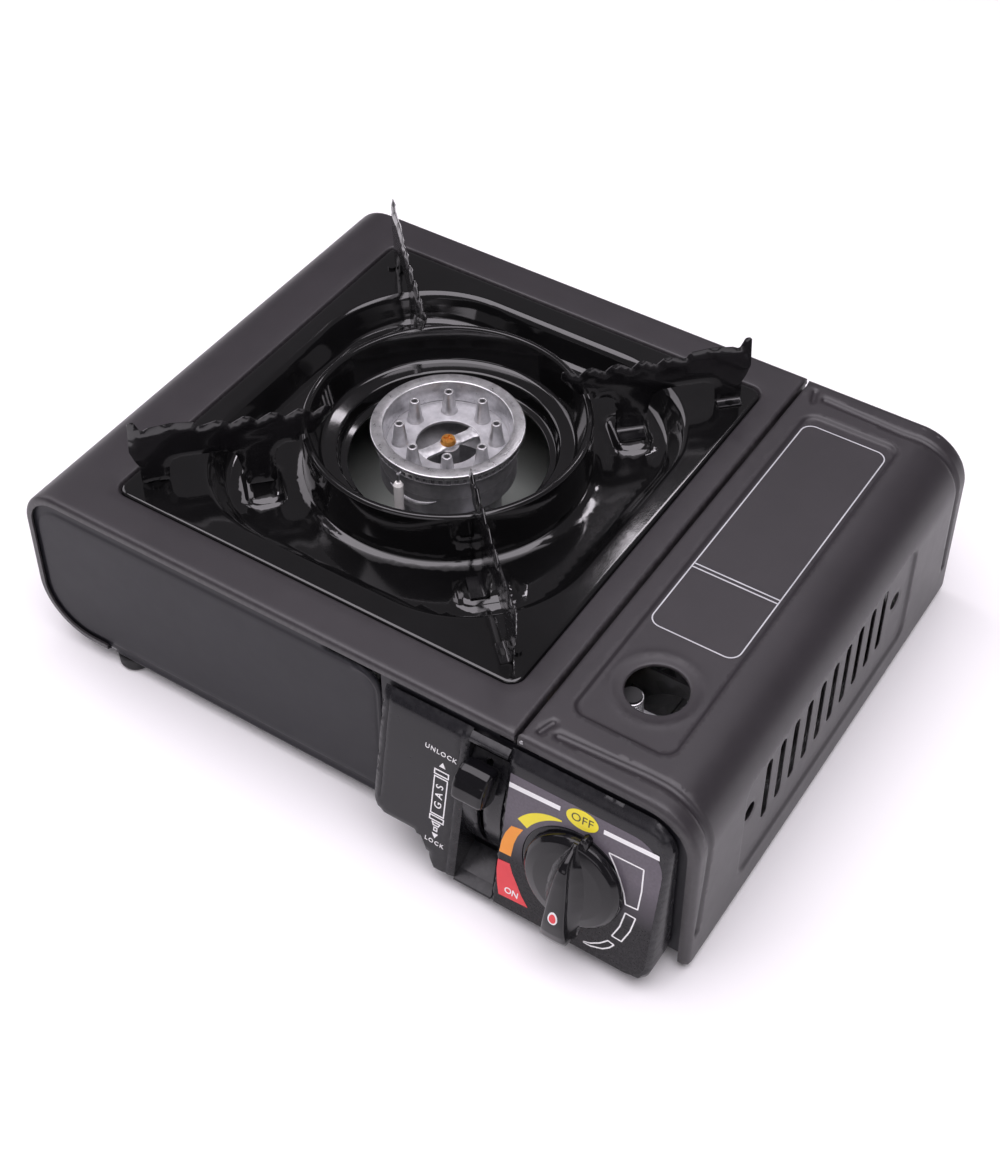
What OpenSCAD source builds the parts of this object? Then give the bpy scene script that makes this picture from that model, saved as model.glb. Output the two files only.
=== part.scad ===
// Tabletop stove for a 67 mm gas cartridge laid on its side.
// Units are millimetres. +Z is up, the controls face -Y, the cartridge bay is at +X.
// The origin is on the table, under the middle of the whole outline.

/* [Casing] */
// Overall length of the casing
case_w = 340; // [336:1:346]
// Depth of the casing, front lip to rear lip
case_d = 253; // [250:1:258]
// Height of the top plate above the table
top_z = 94; // [92:1:98]
// Height of the casing bottom above the table
bottom_z = 8; // [6:1:8]
// Thickness of the casing sheet
sheet = 1; // [0.8:0.1:1]
// Corner radius, top left
corner_top_r = 20; // [14:1:24]
// Corner radius, bottom left
corner_bot_r = 28; // [20:1:30]
// Width of the turned-in lip at front and rear
lip_w = 4; // [3:0.5:5]

/* [Gas cover] */
// Corner radius of the gas cover
gas_r = 24; // [18:1:28]
// Height of the lower edge of the gas cover above the table
gas_edge_z = 4; // [3:0.5:6]
// Radius of the round sight hole
sight_r = 13; // [10:0.5:14]
// Number of vent slots in the side
slot_count = 10; // [6:1:10]
// Length of a vent slot
slot_len = 35; // [16:1:38]
// Width of a vent slot
slot_w = 4.5; // [2:0.5:5]

/* [Tray and supports] */
// Length of the drip tray along X
tray_x = 207; // [203:1:208]
// Length of the drip tray along Y
tray_y = 212; // [208:1:213]
// Depth of the tray well
well_depth = 12; // [10:1:13]
// Outer radius of the wind-shield ring
ring_r = 65; // [60:1:66]
// Height of the ring above the top plate
ring_up = 14; // [10:1:15]
// Height of the support prongs above the top plate
prong_up = 35; // [32:1:40]
// Thickness of a pan support
support_t = 2.2; // [1.2:0.1:2.5]

/* [Burner] */
// Radius of the burner ring
burner_r = 34.8; // [33:0.2:35]
// Number of flame ports
port_count = 60; // [24:2:60]
// Number of hollow nipples
nipple_count = 8; // [6:1:8]

/* [Controls] */
// Radius of the knob skirt
knob_r = 22; // [18:0.5:22.5]
// Height of the knob grip above the panel
grip_up = 15; // [12:1:17]
// Lever turn from the unlock to the lock position
lever_turn = 53; // [45:1:54]

/* [Feet] */
// Radius of a foot
foot_r = 8; // [6:0.5:8]

/* [Hidden] */

y_shift = 14.615;            // puts the middle of the outline on the origin
hw = case_w / 2;
hd = case_d / 2;
eps = 0.01;
seam_x = 87.1;             // right edge of the main cover
gas_x = 88.6;              // left edge of the gas cover
hinge_x = 90.5;
hinge_z = top_z - 2.6;
tray_cx = -29;
tray_cy = 0.5;
tray_top = top_z - 0.4;
well_z = top_z - well_depth - 0.5;   // top of the tray floor
lean = 10.57;              // lean of the control face
face_y = -145;             // foot of the control face
face_z = 6;
face_len = 76.3;
knob_x = 123.5;
knob_s = 38;
pivot_y = -88;
pivot_z = 46;
drum_r = 48;
chan_x = 77;
lever_rest = 25;
gas_ax = 128;              // cartridge axis
gas_az = 48;
tube_ang = -33.6;          // direction of the mixing tube
tube_z = 62;
spark_y = -36.9;           // centre of the electrode
deck_z = bottom_z + sheet; // underside of the base pan
floor_z = deck_z + 1;      // top of the base pan
$fn = 48;

module placed() translate([0, y_shift, 0]) children();
// extrudes an x-z outline from y=a to y=b
module along_y(a, b) translate([0, b, 0]) rotate([90, 0, 0]) linear_extrude(b - a) children();
// extrudes a y-z outline from x=a to x=b
module along_x(a, b) translate([a, 0, 0]) rotate([90, 0, 90]) linear_extrude(b - a) children();
module box(a, b) translate(a) cube(b - a);
module rrect(w, h, r) {
  square([w - 2 * r, h], center = true);
  square([w, h - 2 * r], center = true);
  for (i = [-1, 1], j = [-1, 1]) translate([i * (w / 2 - r), j * (h / 2 - r)]) circle(r);
}
module rect(x0, y0, x1, y1) translate([x0, y0]) square([x1 - x0, y1 - y0]);
// local frame on the control face: x across, y up the face, z outward
module on_face(x, s) translate([x, face_y + s * sin(lean), face_z + s * cos(lean)])
  rotate([90 - lean, 0, 0]) children();
// bench frame on the mixing tube: local z runs away from the burner
module on_tube(r) translate([tray_cx, tray_cy, tube_z]) rotate([0, 0, tube_ang])
  translate([r, 0, 0]) rotate([0, 90, 0]) children();

// ---- casing outlines ----
module case2d(i, x_top, x_bot) {
  translate([-hw + corner_top_r, top_z - corner_top_r]) circle(corner_top_r - i);
  translate([-hw + corner_bot_r, bottom_z + corner_bot_r]) circle(corner_bot_r - i);
  rect(-hw + i, bottom_z + corner_bot_r, x_bot, top_z - corner_top_r);
  rect(-hw + corner_top_r, top_z - corner_top_r - 1, x_top, top_z - i);
  rect(-hw + corner_bot_r, bottom_z + i, x_bot, bottom_z + corner_bot_r + 1);
}
module wrap2d(i) difference() {
  union() { case2d(0, seam_x, -133); rect(-140, bottom_z + 30, seam_x, top_z - corner_top_r); }
  union() { case2d(i, seam_x + 20, seam_x + 20); rect(-133, 0, seam_x + 20, bottom_z + i + 30); }
}
module gas2d(i, x0) {
  translate([hw - gas_r, top_z - gas_r]) circle(gas_r - i);
  rect(x0, top_z - gas_r - 1, hw - gas_r, top_z - i);
  rect(x0, gas_edge_z - (i > 0 ? 20 : 0), hw - i, top_z - gas_r);
}
module gas_wrap2d(i) difference() { gas2d(0, gas_x); gas2d(i, gas_x - 20); }

module base_pan() color([0.13, 0.13, 0.14]) placed() difference() {
  union() {
    box([-141.6, -hd + 2.3, deck_z], [168, hd - 2.3, floor_z]);
    box([-140, -hd + 2.3, deck_z], [160, -hd + 3.3, 20]);
    box([-140, hd - 3.3, deck_z], [160, hd - 2.3, 20]);
    box([167, -112, deck_z], [168, 112, 24]);
  }
  for (p = [[-124, -118], [-124, 116], [150, -114], [150, 116]])
    translate([p[0], p[1], 0]) cylinder(h = 30, r = 2);
  for (i = [0:5]) box([-104 + i * 30, 40, 0], [-98 + i * 30, 90, 15]);
  for (i = [0:4]) box([-90 + i * 22, -92, 0], [-84 + i * 22, -52, 15]);
  for (x = [-96, 38], y = [-8.5, 9.5]) translate([x, y, 0]) cylinder(h = 30, r = 1.6);
}

module main_cover() color([0.16, 0.15, 0.15]) placed() union() {
  difference() {
    union() {
      along_y(-hd, hd) wrap2d(sheet);
      along_y(-hd, -hd + 1.3) wrap2d(lip_w);
      along_y(hd - 1.3, hd) wrap2d(lip_w);
      box([seam_x - 1, -hd + 1.3, top_z - 7], [seam_x, hd - 1.3, top_z - sheet]);
      translate([tray_cx, tray_cy, top_z - 3.5]) linear_extrude(3) rrect(tray_x + 3.6, tray_y + 3.6, 8);
    }
    translate([tray_cx, tray_cy, top_z - 2.5]) linear_extrude(5) rrect(tray_x + 1.2, tray_y + 1.2, 6.6);
    translate([tray_cx, tray_cy, top_z - 5]) linear_extrude(8) rrect(tray_x - 8, tray_y - 8, 12);
  }
}

module front_panel() color([0.19, 0.19, 0.21]) placed() along_y(-hd + 1.3, -hd + 2.3) difference() {
  union() {
    intersection() { case2d(sheet + 0.2, 10, 22.5); rect(-hw, 0, 10.5, 200); }
    rect(-130, bottom_z - 0.5, 22.5, top_z - 20);
    rect(0, top_z - 20.5, 10.5, top_z - sheet - 0.2);
    translate([10.4, top_z - 20.2]) intersection() { circle(12.1); rect(0, 0, 20, 20); }
    rect(-5, top_z - 20.5, 10.5, top_z - 8.2);
  }
  rect(10.4, top_z - 8.1, 40, top_z);
}

// what is cut away round a hinge ear, and its bore
module hinge_ear2d() {
  difference() {
    union() { rect(80, top_z - 7.5, hinge_x - 1.3, top_z + 2); rect(hinge_x + 1.3, top_z - 7.5, 98, top_z + 2); }
    translate([hinge_x, hinge_z]) circle(1.5);
  }
  translate([hinge_x, hinge_z]) circle(0.95);
}

module rear_panel() color([0.17, 0.17, 0.18]) placed() along_y(hd - 2.3, hd - 1.3) difference() {
  union() {
    intersection() { case2d(sheet + 0.2, 86.5, 86.5); rect(-hw, 0, 86.5, 200); }
    rect(86, deck_z, 166.5, top_z - gas_r);
    rect(86, top_z - gas_r - 1, hw - gas_r, top_z - 4);
    translate([hw - gas_r, top_z - gas_r]) circle(gas_r - 4);
    translate([hinge_x, hinge_z]) circle(1.5);
  }
  hinge_ear2d();
  for (i = [0:9]) rect(-110 + i * 14, 40, -106 + i * 14, 66);
  for (i = [0:3]) rect(112 + i * 10, 30, 115 + i * 10, 56);
  for (p = [[-150, 50], [-60, 24], [60, 24], [156, 40]]) translate(p) circle(1.6);
}

module partition_wall() color([0.62, 0.63, 0.64]) placed() difference() {
  box([85, -hd + 3.3, floor_z], [86, hd - 3.3, top_z - sheet]);
  translate([85.5, -75.6, tube_z]) rotate([0, 90, 0]) cylinder(h = 6, r = 9.5, center = true);
  box([80, -57, pivot_z - 6], [90, -40, pivot_z + 5.5]);
  translate([85.5, -108, 26]) rotate([0, 90, 0]) cylinder(h = 6, r = 2.4, center = true);
  for (i = [0:5]) box([80, 20 + i * 14, 66], [90, 26 + i * 14, 82]);
}

module valve_mount_plate() color([0.2, 0.2, 0.21]) placed() along_y(-hd + 1.3, -hd + 2.3) difference() {
  union() {
    rect(23.2, deck_z, 86, top_z - lip_w - 1);
    rect(85.5, deck_z, 166.5, top_z - gas_r);
    rect(85.5, top_z - gas_r - 1, hw - gas_r, top_z - 4);
    translate([hw - gas_r, top_z - gas_r]) circle(gas_r - 4);
    translate([hinge_x, hinge_z]) circle(1.5);
  }
  hinge_ear2d();
  translate([knob_x, 41]) circle(11);
  rect(70.5, 14, 83.5, 74);
}

// ---- control panel ----
module face_profile(i) polygon([
  [-hd - 0.3 + (i > 0 ? 5 : 0), 86.5 - i * 1.2], [face_y + 81 * tan(lean) - 0.2 + i * 0.9, 84.2 - i * 1.6],
  [face_y + 75 * tan(lean) + i, 81 - i * 1.4], [face_y + 1.6 * tan(lean) + i, face_z + (i > 0 ? i : 1.6)],
  [face_y + 1.6 + i * 0.6, face_z + i], [-hd - 0.3 + (i > 0 ? 5 : 0), face_z + i]]);
module face_front2d() {
  rect(27, 28, 150, 90);
  rect(56, 14, 161, 74);
  rect(64, face_z, 153, 76);
  translate([35, 30]) circle(8);
  rect(35, 22, 58, 40);
  difference() { rect(44, 13.9, 58, 24); translate([46, 14]) circle(8); }
  translate([64, 14]) circle(8);
  translate([146, 72]) circle(15);
  translate([153, 14]) circle(8);
}
module control_panel() color([0.1, 0.1, 0.11]) placed() difference() {
  union() {
    difference() {
      intersection() {
        along_x(20, 170) face_profile(0);
        along_y(-170, -hd) face_front2d();
      }
      // channel of the lever, in front of the drum
      difference() {
        box([69, -160, 0], [87, -hd + 1, 95]);
        translate([60, pivot_y, pivot_z]) rotate([0, 90, 0]) cylinder(h = 40, r = drum_r, $fn = 96);
      }
      // hollow inside, drum kept as a curved wall
      along_x(30, 66.6) face_profile(2.2);
      along_x(89.4, 158) face_profile(2.2);
      translate([69.6, pivot_y, pivot_z]) rotate([0, 90, 0]) cylinder(h = 16.8, r = drum_r - 2.4, $fn = 96);
    }
    // sill and bridge that close the channel below and above
    box([68.5, -142, face_z], [87.5, -hd - 0.3, face_z + 2.4]);
    box([68.5, -129.6, 84], [87.5, -hd - 0.3, 86]);
    // posts that meet the mount plate
    intersection() {
      for (p = [[46, 62], [100, 70], [150, 24]]) translate([p[0], -hd + 1.3, p[1]]) rotate([90, 0, 0]) cylinder(h = 30, r = 4);
      along_x(20, 170) polygon([[-hd + 1.3, 90], [-hd - 3, 90], [face_y + 81 * tan(lean) + 1, 83], [face_y + 1, 7], [-hd + 1.3, 7]]);
    }
  }
  box([chan_x - 1.4, -160, pivot_z - 34], [chan_x + 1.4, -hd + 1, pivot_z + 36]);
  on_face(knob_x, knob_s) translate([0, 0, -6]) cylinder(h = 12, r = 6);
}

module control_plate() color([0.22, 0.21, 0.22]) placed() on_face(0, 0) difference() {
  linear_extrude(0.3) {
    rect(89, 2, 144, 73);
    rect(89, 2, 150.5, 58);
    rect(140, 10.5, 159, 58);
    translate([144, 58]) circle(15);
    translate([150.5, 10.5]) circle(8.5);
  }
  translate([knob_x, knob_s, -1]) cylinder(h = 3, r = 6);
}

// ---- burner ----
module reflector_plate() color([0.66, 0.68, 0.64]) placed() difference() {
  translate([tray_cx, tray_cy, 44]) difference() {
    linear_extrude(7) rrect(180, 176, 20);
    translate([0, 0, 1]) linear_extrude(7) rrect(178, 174, 19);
  }
  translate([tray_cx, tray_cy, 40]) cylinder(h = 10, r = 8);
  translate([-30, spark_y, 40]) cylinder(h = 10, r = 4);
  on_tube(50) cylinder(h = 100, r = 12);
}

module burner_bracket() color([0.6, 0.6, 0.62]) placed() difference() {
  union() {
    box([-89, -14.5, 42.5], [31, 15.5, 44]);
    for (x = [-89, 29.5]) box([x, -14.5, floor_z], [x + 1.5, 15.5, 43]);
    box([-103, -14.5, floor_z], [-88, 15.5, floor_z + 1.5]);
    box([30, -14.5, floor_z], [45, 15.5, floor_z + 1.5]);
  }
  for (x = [-96, 38], y = [-8.5, 9.5]) translate([x, y, 0]) cylinder(h = 30, r = 1.6);
  translate([tray_cx, tray_cy, 30]) cylinder(h = 30, r = 6);
}
module bracket_screws() color([0.75, 0.75, 0.76]) placed() for (x = [-96, 38], y = [-8.5, 9.5]) translate([x, y, 0]) {
  translate([0, 0, deck_z - 0.4]) cylinder(h = 4, r = 1.5);
  translate([0, 0, floor_z + 1.5]) difference() {
    cylinder(h = 1.8, r = 3.2);
    translate([-2.4, -0.4, 1]) cube([4.8, 0.8, 2]);
    translate([-0.4, -2.4, 1]) cube([0.8, 4.8, 2]);
  }
}

module burner_body() color([0.66, 0.66, 0.67]) placed() difference() {
  union() {
    translate([tray_cx, tray_cy, 0]) rotate_extrude() polygon([[2.1, 45], [22, 45], [22, 50], [24, 52],
      [24, 71], [31, 77], [31, 86], [28.4, 86], [28.4, 78], [21, 72], [21, 53], [5, 52], [5, 90.5], [2.1, 90.5]]);
    on_tube(22.6) cylinder(h = 17.4, r = 12);
  }
  on_tube(26) cylinder(h = 20, r = 9.55);
  on_tube(18) cylinder(h = 10, r = 7.6);
}

function nip_ang(i) = 122.9 + i * 360 / nipple_count;
module burner_head() color([0.82, 0.82, 0.83]) placed() translate([tray_cx, tray_cy, 0]) difference() {
  union() {
    rotate_extrude($fn = 96) polygon([[14.4, 90.5], [28.4, 90.5], [28.4, 86], [31, 86], [31, 95.5],
      [burner_r - 1.3, 97], [burner_r - 1.3, 100.6], [burner_r, 100.6], [burner_r, 102.8], [29, 102.8], [27.4, 92], [14.4, 92]]);
    rotate([0, 0, 66]) box([-15, -2.8, 90.5], [15, 2.8, 92]);
    translate([0, 0, 90.5]) cylinder(h = 1.8, r = 5.5);
    for (i = [0:nipple_count - 1]) rotate([0, 0, nip_ang(i)]) translate([21.6, 0, 91.8]) cylinder(h = 11.7, r1 = 3.5, r2 = 2.4, $fn = 32);
  }
  for (i = [0:nipple_count - 1]) rotate([0, 0, nip_ang(i)]) translate([21.6, 0, 85]) cylinder(h = 30, r = 1.3, $fn = 24);
  for (i = [0:port_count - 1]) rotate([0, 0, i * 360 / port_count]) box([burner_r - 4, -0.85, 97.2], [burner_r - 1, 0.85, 100.4]);
  translate([0, 0, 80]) cylinder(h = 30, r = 2.1);
}
module burner_screw() color([0.8, 0.55, 0.25]) placed() translate([tray_cx, tray_cy, 0]) union() {
  translate([0, 0, 56]) cylinder(h = 37, r = 2);
  difference() {
    translate([0, 0, 92.3]) cylinder(h = 2, r1 = 3.6, r2 = 3, $fn = 32);
    for (a = [20, 110]) rotate([0, 0, a]) translate([-2.2, -0.45, 93.4]) cube([4.4, 0.9, 2]);
  }
}
module mixing_tube() color([0.7, 0.7, 0.71]) placed() difference() {
  union() {
    on_tube(30) cylinder(h = 94, r = 9.5);
    on_tube(120) cylinder(h = 4, r1 = 9.5, r2 = 12);
    on_tube(124) cylinder(h = 4, r = 12);
  }
  on_tube(28) cylinder(h = 102, r = 7.6);
  for (a = [0:90:270]) on_tube(112) rotate([0, 0, a + 45]) box([5, -3, -5], [14, 3, 5]);
}
module gas_injector() color([0.8, 0.62, 0.3]) placed() difference() {
  union() {
    on_tube(132) cylinder(h = 18, r = 5);
    on_tube(140) cylinder(h = 5, r = 7, $fn = 6);
    on_tube(128.5) cylinder(h = 3.6, r1 = 2.4, r2 = 4);
  }
  on_tube(126) cylinder(h = 30, r = 0.8, $fn = 24);
}

// ---- gas side ----
module regulator_body() color([0.6, 0.6, 0.62]) placed() difference() {
  union() {
    box([105, -112, 32], [142, -70, 70]);
    translate([126, -95, 69]) cylinder(h = 3, r = 16);
    translate([111.5, -77, 69]) cylinder(h = 3, r = 6.4);
    on_tube(150) cylinder(h = 14, r = 7);
    on_face(knob_x, knob_s) translate([0, 0, -30]) cylinder(h = 6, r = 10);
    translate([gas_ax, -64, gas_az]) rotate([90, 0, 0]) cylinder(h = 8, r = 13);
  }
  translate([111.5, -77, 62]) cylinder(h = 12, r = 2.1);
  translate([gas_ax, -60, gas_az]) rotate([90, 0, 0]) cylinder(h = 20, r = 3);
}
module regulator_diaphragm() color([0.08, 0.08, 0.08]) placed() translate([126, -95, 72]) cylinder(h = 1, r = 16);
module regulator_cap() color([0.72, 0.72, 0.73]) placed() translate([126, -95, 73]) difference() {
  union() { cylinder(h = 1.6, r = 16); cylinder(h = 6.5, r1 = 12, r2 = 10); }
  translate([0, 0, 4]) cylinder(h = 4, r = 3);
  for (a = [45:90:315]) rotate([0, 0, a]) translate([14, 0, -1]) cylinder(h = 5, r = 1, $fn = 24);
}
module cap_screws() color([0.8, 0.8, 0.8]) placed() translate([126, -95, 74.6]) for (a = [45:90:315]) rotate([0, 0, a])
  translate([14, 0, 0]) difference() { cylinder(h = 1.4, r = 1.8, $fn = 24); translate([-1.2, -0.25, 0.8]) cube([2.4, 0.5, 1]); }
module regulator_bracket() color([0.6, 0.6, 0.62]) placed() union() {
  box([107, -106, 30.8], [140, -74, 32]);
  for (x = [107, 138.8]) box([x, -106, floor_z], [x + 1.2, -74, 31]);
}
// coil drawn as stacked turns
module safety_spring() color([0.75, 0.76, 0.78]) placed() translate([111.5, -77, 72]) union() {
  for (i = [0:7]) translate([0, 0, 0.6 + i * 1.5]) rotate_extrude($fn = 40) translate([4.6, 0]) circle(0.55, $fn = 16);
  for (i = [0:6]) rotate([0, 0, i * 70]) translate([4.6, 0, 0.6 + i * 1.5]) cylinder(h = 1.5, r = 0.4, $fn = 16);
}
module safety_plunger() color([0.8, 0.62, 0.3]) placed() translate([111.5, -77, 0]) union() {
  translate([0, 0, 63]) cylinder(h = 21, r = 2);
  translate([0, 0, 83.65]) cylinder(h = 0.9, r = 4.2);
}
module valve_body() color([0.8, 0.62, 0.3]) placed() on_face(knob_x, knob_s) difference() {
  union() { translate([0, 0, -24]) cylinder(h = 9.4, r = 9); translate([0, 0, -20]) cylinder(h = 3, r = 12, $fn = 6); }
  translate([0, 0, -23]) cylinder(h = 12, r = 3.05);
}
module valve_stem() color([0.8, 0.62, 0.3]) placed() on_face(knob_x, knob_s) difference() {
  translate([0, 0, -22]) cylinder(h = 34, r = 3);
  box([-4, 2, 1], [4, 5, 14]);
}
module cartridge_socket() color([0.8, 0.62, 0.3]) placed() translate([gas_ax, -58.5, gas_az]) rotate([90, 0, 0]) difference() {
  cylinder(h = 5.5, r = 10);
  translate([0, 0, -1]) cylinder(h = 4.5, r = 7);
  translate([0, 0, -1]) cylinder(h = 8, r = 3);
}
module nozzle_seal() color([0.1, 0.1, 0.1]) placed() translate([gas_ax, -60.5, gas_az]) rotate([90, 0, 0]) difference() {
  cylinder(h = 1.5, r = 6.9);
  translate([0, 0, -1]) cylinder(h = 5, r = 3);
}
module cartridge_guide() color([0.62, 0.63, 0.64]) placed() difference() {
  union() {
    box([86, -57.5, floor_z], [163, -56.3, 80]);
    box([86, -56.3, floor_z], [163, -49, floor_z + 1]);
    box([86, -56.3, 60], [87, -50, 80]);
    box([gas_ax - 4, -56.5, 74], [gas_ax + 4, -50, 75.2]);
  }
  translate([gas_ax, -50, gas_az]) rotate([90, 0, 0]) cylinder(h = 20, r = 24);
  box([80, -60, floor_z - 2], [156, -40, floor_z + 4]);
}
module slide_guides() color([0.62, 0.63, 0.64]) placed() for (s = [0, 1]) translate([s * 54, 0, 0]) difference() {
  box([s == 0 ? 97 : 98.5, -32, floor_z], [s == 0 ? 103.5 : 105, 110, floor_z + 3.5]);
  box([s == 0 ? 101 : 90, -40, floor_z + 0.4], [s == 0 ? 110 : 101, 120, floor_z + 2.4]);
}
module cartridge_slide() color([0.66, 0.67, 0.68]) placed() union() {
  box([101.4, -46, floor_z + 0.8], [154.6, 114, floor_z + 2]);
  box([112, 112.8, floor_z + 1], [144, 114, 72]);
  box([90, -46, floor_z + 0.8], [102, -38, floor_z + 2]);
}
module slide_link() color([0.66, 0.67, 0.68]) placed() difference() {
  union() {
    along_x(78.4, 79.6) polygon([[-89.5, 49.8], [-89.5, 59.2], [-80.6, 59.2], [-79.4, 56.4], [-76, 56.4], [-70.5, 49.3],
      [-42, 49.3], [-42, 42], [-73.5, 42], [-80.3, 49.8]]);
    box([78.4, -46, 42], [91.2, -42, 49.3]);
    box([90, -46, floor_z + 2], [91.2, -38, 49.3]);
  }
  translate([0, pivot_y + 9 * sin(26.5), 0]) box([70, -2.4, pivot_z + 5.6], [85, 2.4, pivot_z + 11.6]);
}
module lever_arm() color([0.66, 0.67, 0.68]) placed() translate([chan_x, pivot_y, pivot_z]) difference() {
  union() {
    rotate([0, 90, 0]) cylinder(h = 1.5, r = 6, center = true);
    rotate([-lever_rest, 0, 0]) box([-0.75, -57, -3.5], [0.75, 0, 3.5]);
    rotate([-26.5, 0, 0]) { box([-0.75, -2.6, 0], [0.75, 2.6, 9]); translate([-0.75, 0, 9]) rotate([0, 90, 0]) cylinder(h = 1.5, r = 2.6); }
    rotate([-26.5, 0, 0]) translate([0, 0, 9]) rotate([0, 90, 0]) cylinder(h = 3.2, r = 1.5);
  }
  rotate([0, 90, 0]) cylinder(h = 4, r = 2.05, center = true);
}
module lock_lever() color([0.05, 0.05, 0.05]) placed() translate([chan_x, pivot_y, pivot_z]) rotate([-lever_rest, 0, 0]) difference() {
  along_x(-7.2, 7.2) polygon([[-48.8, -7], [-52, -8.4], [-59, -8], [-62, -6], [-63, 0], [-62, 6], [-59, 8], [-52, 8.4], [-48.8, 7]]);
  box([-0.76, -57.02, -3.51], [0.76, -30, 3.51]);
}
module lever_bracket() color([0.62, 0.63, 0.64]) placed() difference() {
  union() {
    for (x = [72, 80.8]) box([x, pivot_y - 10, floor_z], [x + 1.2, pivot_y + 10, pivot_z + 8]);
    box([72, pivot_y - 10, floor_z], [82, pivot_y + 10, floor_z + 1.2]);
  }
  translate([70, pivot_y, pivot_z]) rotate([0, 90, 0]) cylinder(h = 20, r = 2.05);
}
module lever_pin() color([0.75, 0.75, 0.76]) placed() translate([70.6, pivot_y, pivot_z]) rotate([0, 90, 0]) union() {
  cylinder(h = 12.6, r = 2);
  cylinder(h = 1.3, r = 3.2);
  translate([0, 0, 11.5]) cylinder(h = 1.3, r = 3.2);
}
module piezo_igniter() color([0.12, 0.12, 0.13]) placed() union() {
  box([92, -120, floor_z], [102, -94, floor_z + 22]);
  translate([92, -108, 26]) rotate([0, 90, 0]) cylinder(h = 4, r = 3.2);
  translate([97, -94.5, 22]) rotate([-90, 0, 0]) cylinder(h = 8, r = 3.5);
}
lead_pts = [[91.9, -108, 26], [60, -108, 24], [10, -94, 20], [-22, -66, 18], [-30, -43, 26], [-30, spark_y, 40], [-30, spark_y, 61.9]];
function unit(v) = v / norm(v);
function way(p, i) = unit((i < len(p) - 1 ? unit(p[i + 1] - p[i]) : [0, 0, 0]) + (i > 0 ? unit(p[i] - p[i - 1]) : [0, 0, 0]));
function rings(p, r, n) = [for (i = [0:len(p) - 1]) let (t = way(p, i), u = unit(cross(t, [0.6, 0.8, 0])), v = cross(t, u))
  for (k = [0:n - 1]) p[i] + r * (cos(k * 360 / n) * u + sin(k * 360 / n) * v)];
module tube(p, r, n) polyhedron(rings(p, r, n), concat([[for (k = [0:n - 1]) n - 1 - k]], [[for (k = [0:n - 1]) (len(p) - 1) * n + k]],
  [for (i = [0:len(p) - 2], k = [0:n - 1]) [i * n + k, i * n + (k + 1) % n, (i + 1) * n + (k + 1) % n, (i + 1) * n + k]]));
module ignition_lead() color([0.7, 0.12, 0.1]) placed() tube(lead_pts, 1.2, 8);
module electrode_ceramic() color([0.95, 0.95, 0.93]) placed() translate([-30, spark_y, 62]) union() {
  cylinder(h = 33, r = 2.2);
  translate([0, 0, 4]) cylinder(h = 4.8, r = 3.2);
  translate([0, 0, 33]) cylinder(h = 1.5, r1 = 2.2, r2 = 1.4);
}
module electrode_tip() color([0.7, 0.7, 0.72]) placed() union() {
  translate([-30, spark_y, 96.5]) cylinder(h = 5, r = 0.7, $fn = 24);
  translate([-30, spark_y - 0.6, 100.7]) rotate([-90, 0, 0]) cylinder(h = 2.7, r = 0.5, $fn = 24);
}
module electrode_clip() color([0.62, 0.63, 0.64]) placed() difference() {
  box([-36, -44, 64.6], [-24, -20, 65.8]);
  translate([-30, spark_y, 60]) cylinder(h = 10, r = 2.25);
  translate([tray_cx, tray_cy, 60]) cylinder(h = 10, r = 24.05);
}
module hinge_pins() color([0.7, 0.7, 0.72]) placed() for (s = [-1, 1]) translate([hinge_x, s * hd, hinge_z]) rotate([s * 90, 0, 0]) {
  translate([0, 0, -0.01]) cylinder(h = 4.5, r = 0.9);
}
module feet() color([0.05, 0.05, 0.05]) placed() for (p = [[-124, -118], [-124, 116], [150, -114], [150, 116]]) translate([p[0], p[1], 0]) difference() {
  union() { cylinder(h = 1.5, r1 = foot_r - 1.4, r2 = foot_r - 0.4); translate([0, 0, 1.5]) cylinder(h = bottom_z - 2.3, r1 = foot_r - 0.4, r2 = foot_r); translate([0, 0, 3]) cylinder(h = deck_z - 3, r = 5); }
  translate([0, 0, -1]) cylinder(h = 5, r = 3.6);
  translate([0, 0, -1]) cylinder(h = 20, r = 2);
}
module foot_screws() color([0.75, 0.75, 0.76]) placed() for (p = [[-124, -118], [-124, 116], [150, -114], [150, 116]]) translate([p[0], p[1], 0]) difference() {
  union() { translate([0, 0, 2]) cylinder(h = 2, r = 3.2); translate([0, 0, 3]) cylinder(h = 9.5, r = 1.9); }
  translate([-2.2, -0.4, 1.5]) cube([4.4, 0.8, 1.4]);
  translate([-0.4, -2.2, 1.5]) cube([0.8, 4.4, 1.4]);
}
module rear_screws() color([0.75, 0.75, 0.76]) placed() for (p = [[-150, 50], [-60, 24], [60, 24], [156, 40]]) translate([p[0], hd - 1.3, p[1]]) rotate([-90, 0, 0]) {
  difference() { cylinder(h = 1.2, r = 3.2); translate([-2.2, -0.4, 0.6]) cube([4.4, 0.8, 2]); translate([-0.4, -2.2, 0.6]) cube([0.8, 4.4, 2]); }
  translate([0, 0, -4]) cylinder(h = 4.5, r = 1.5);
}

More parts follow.
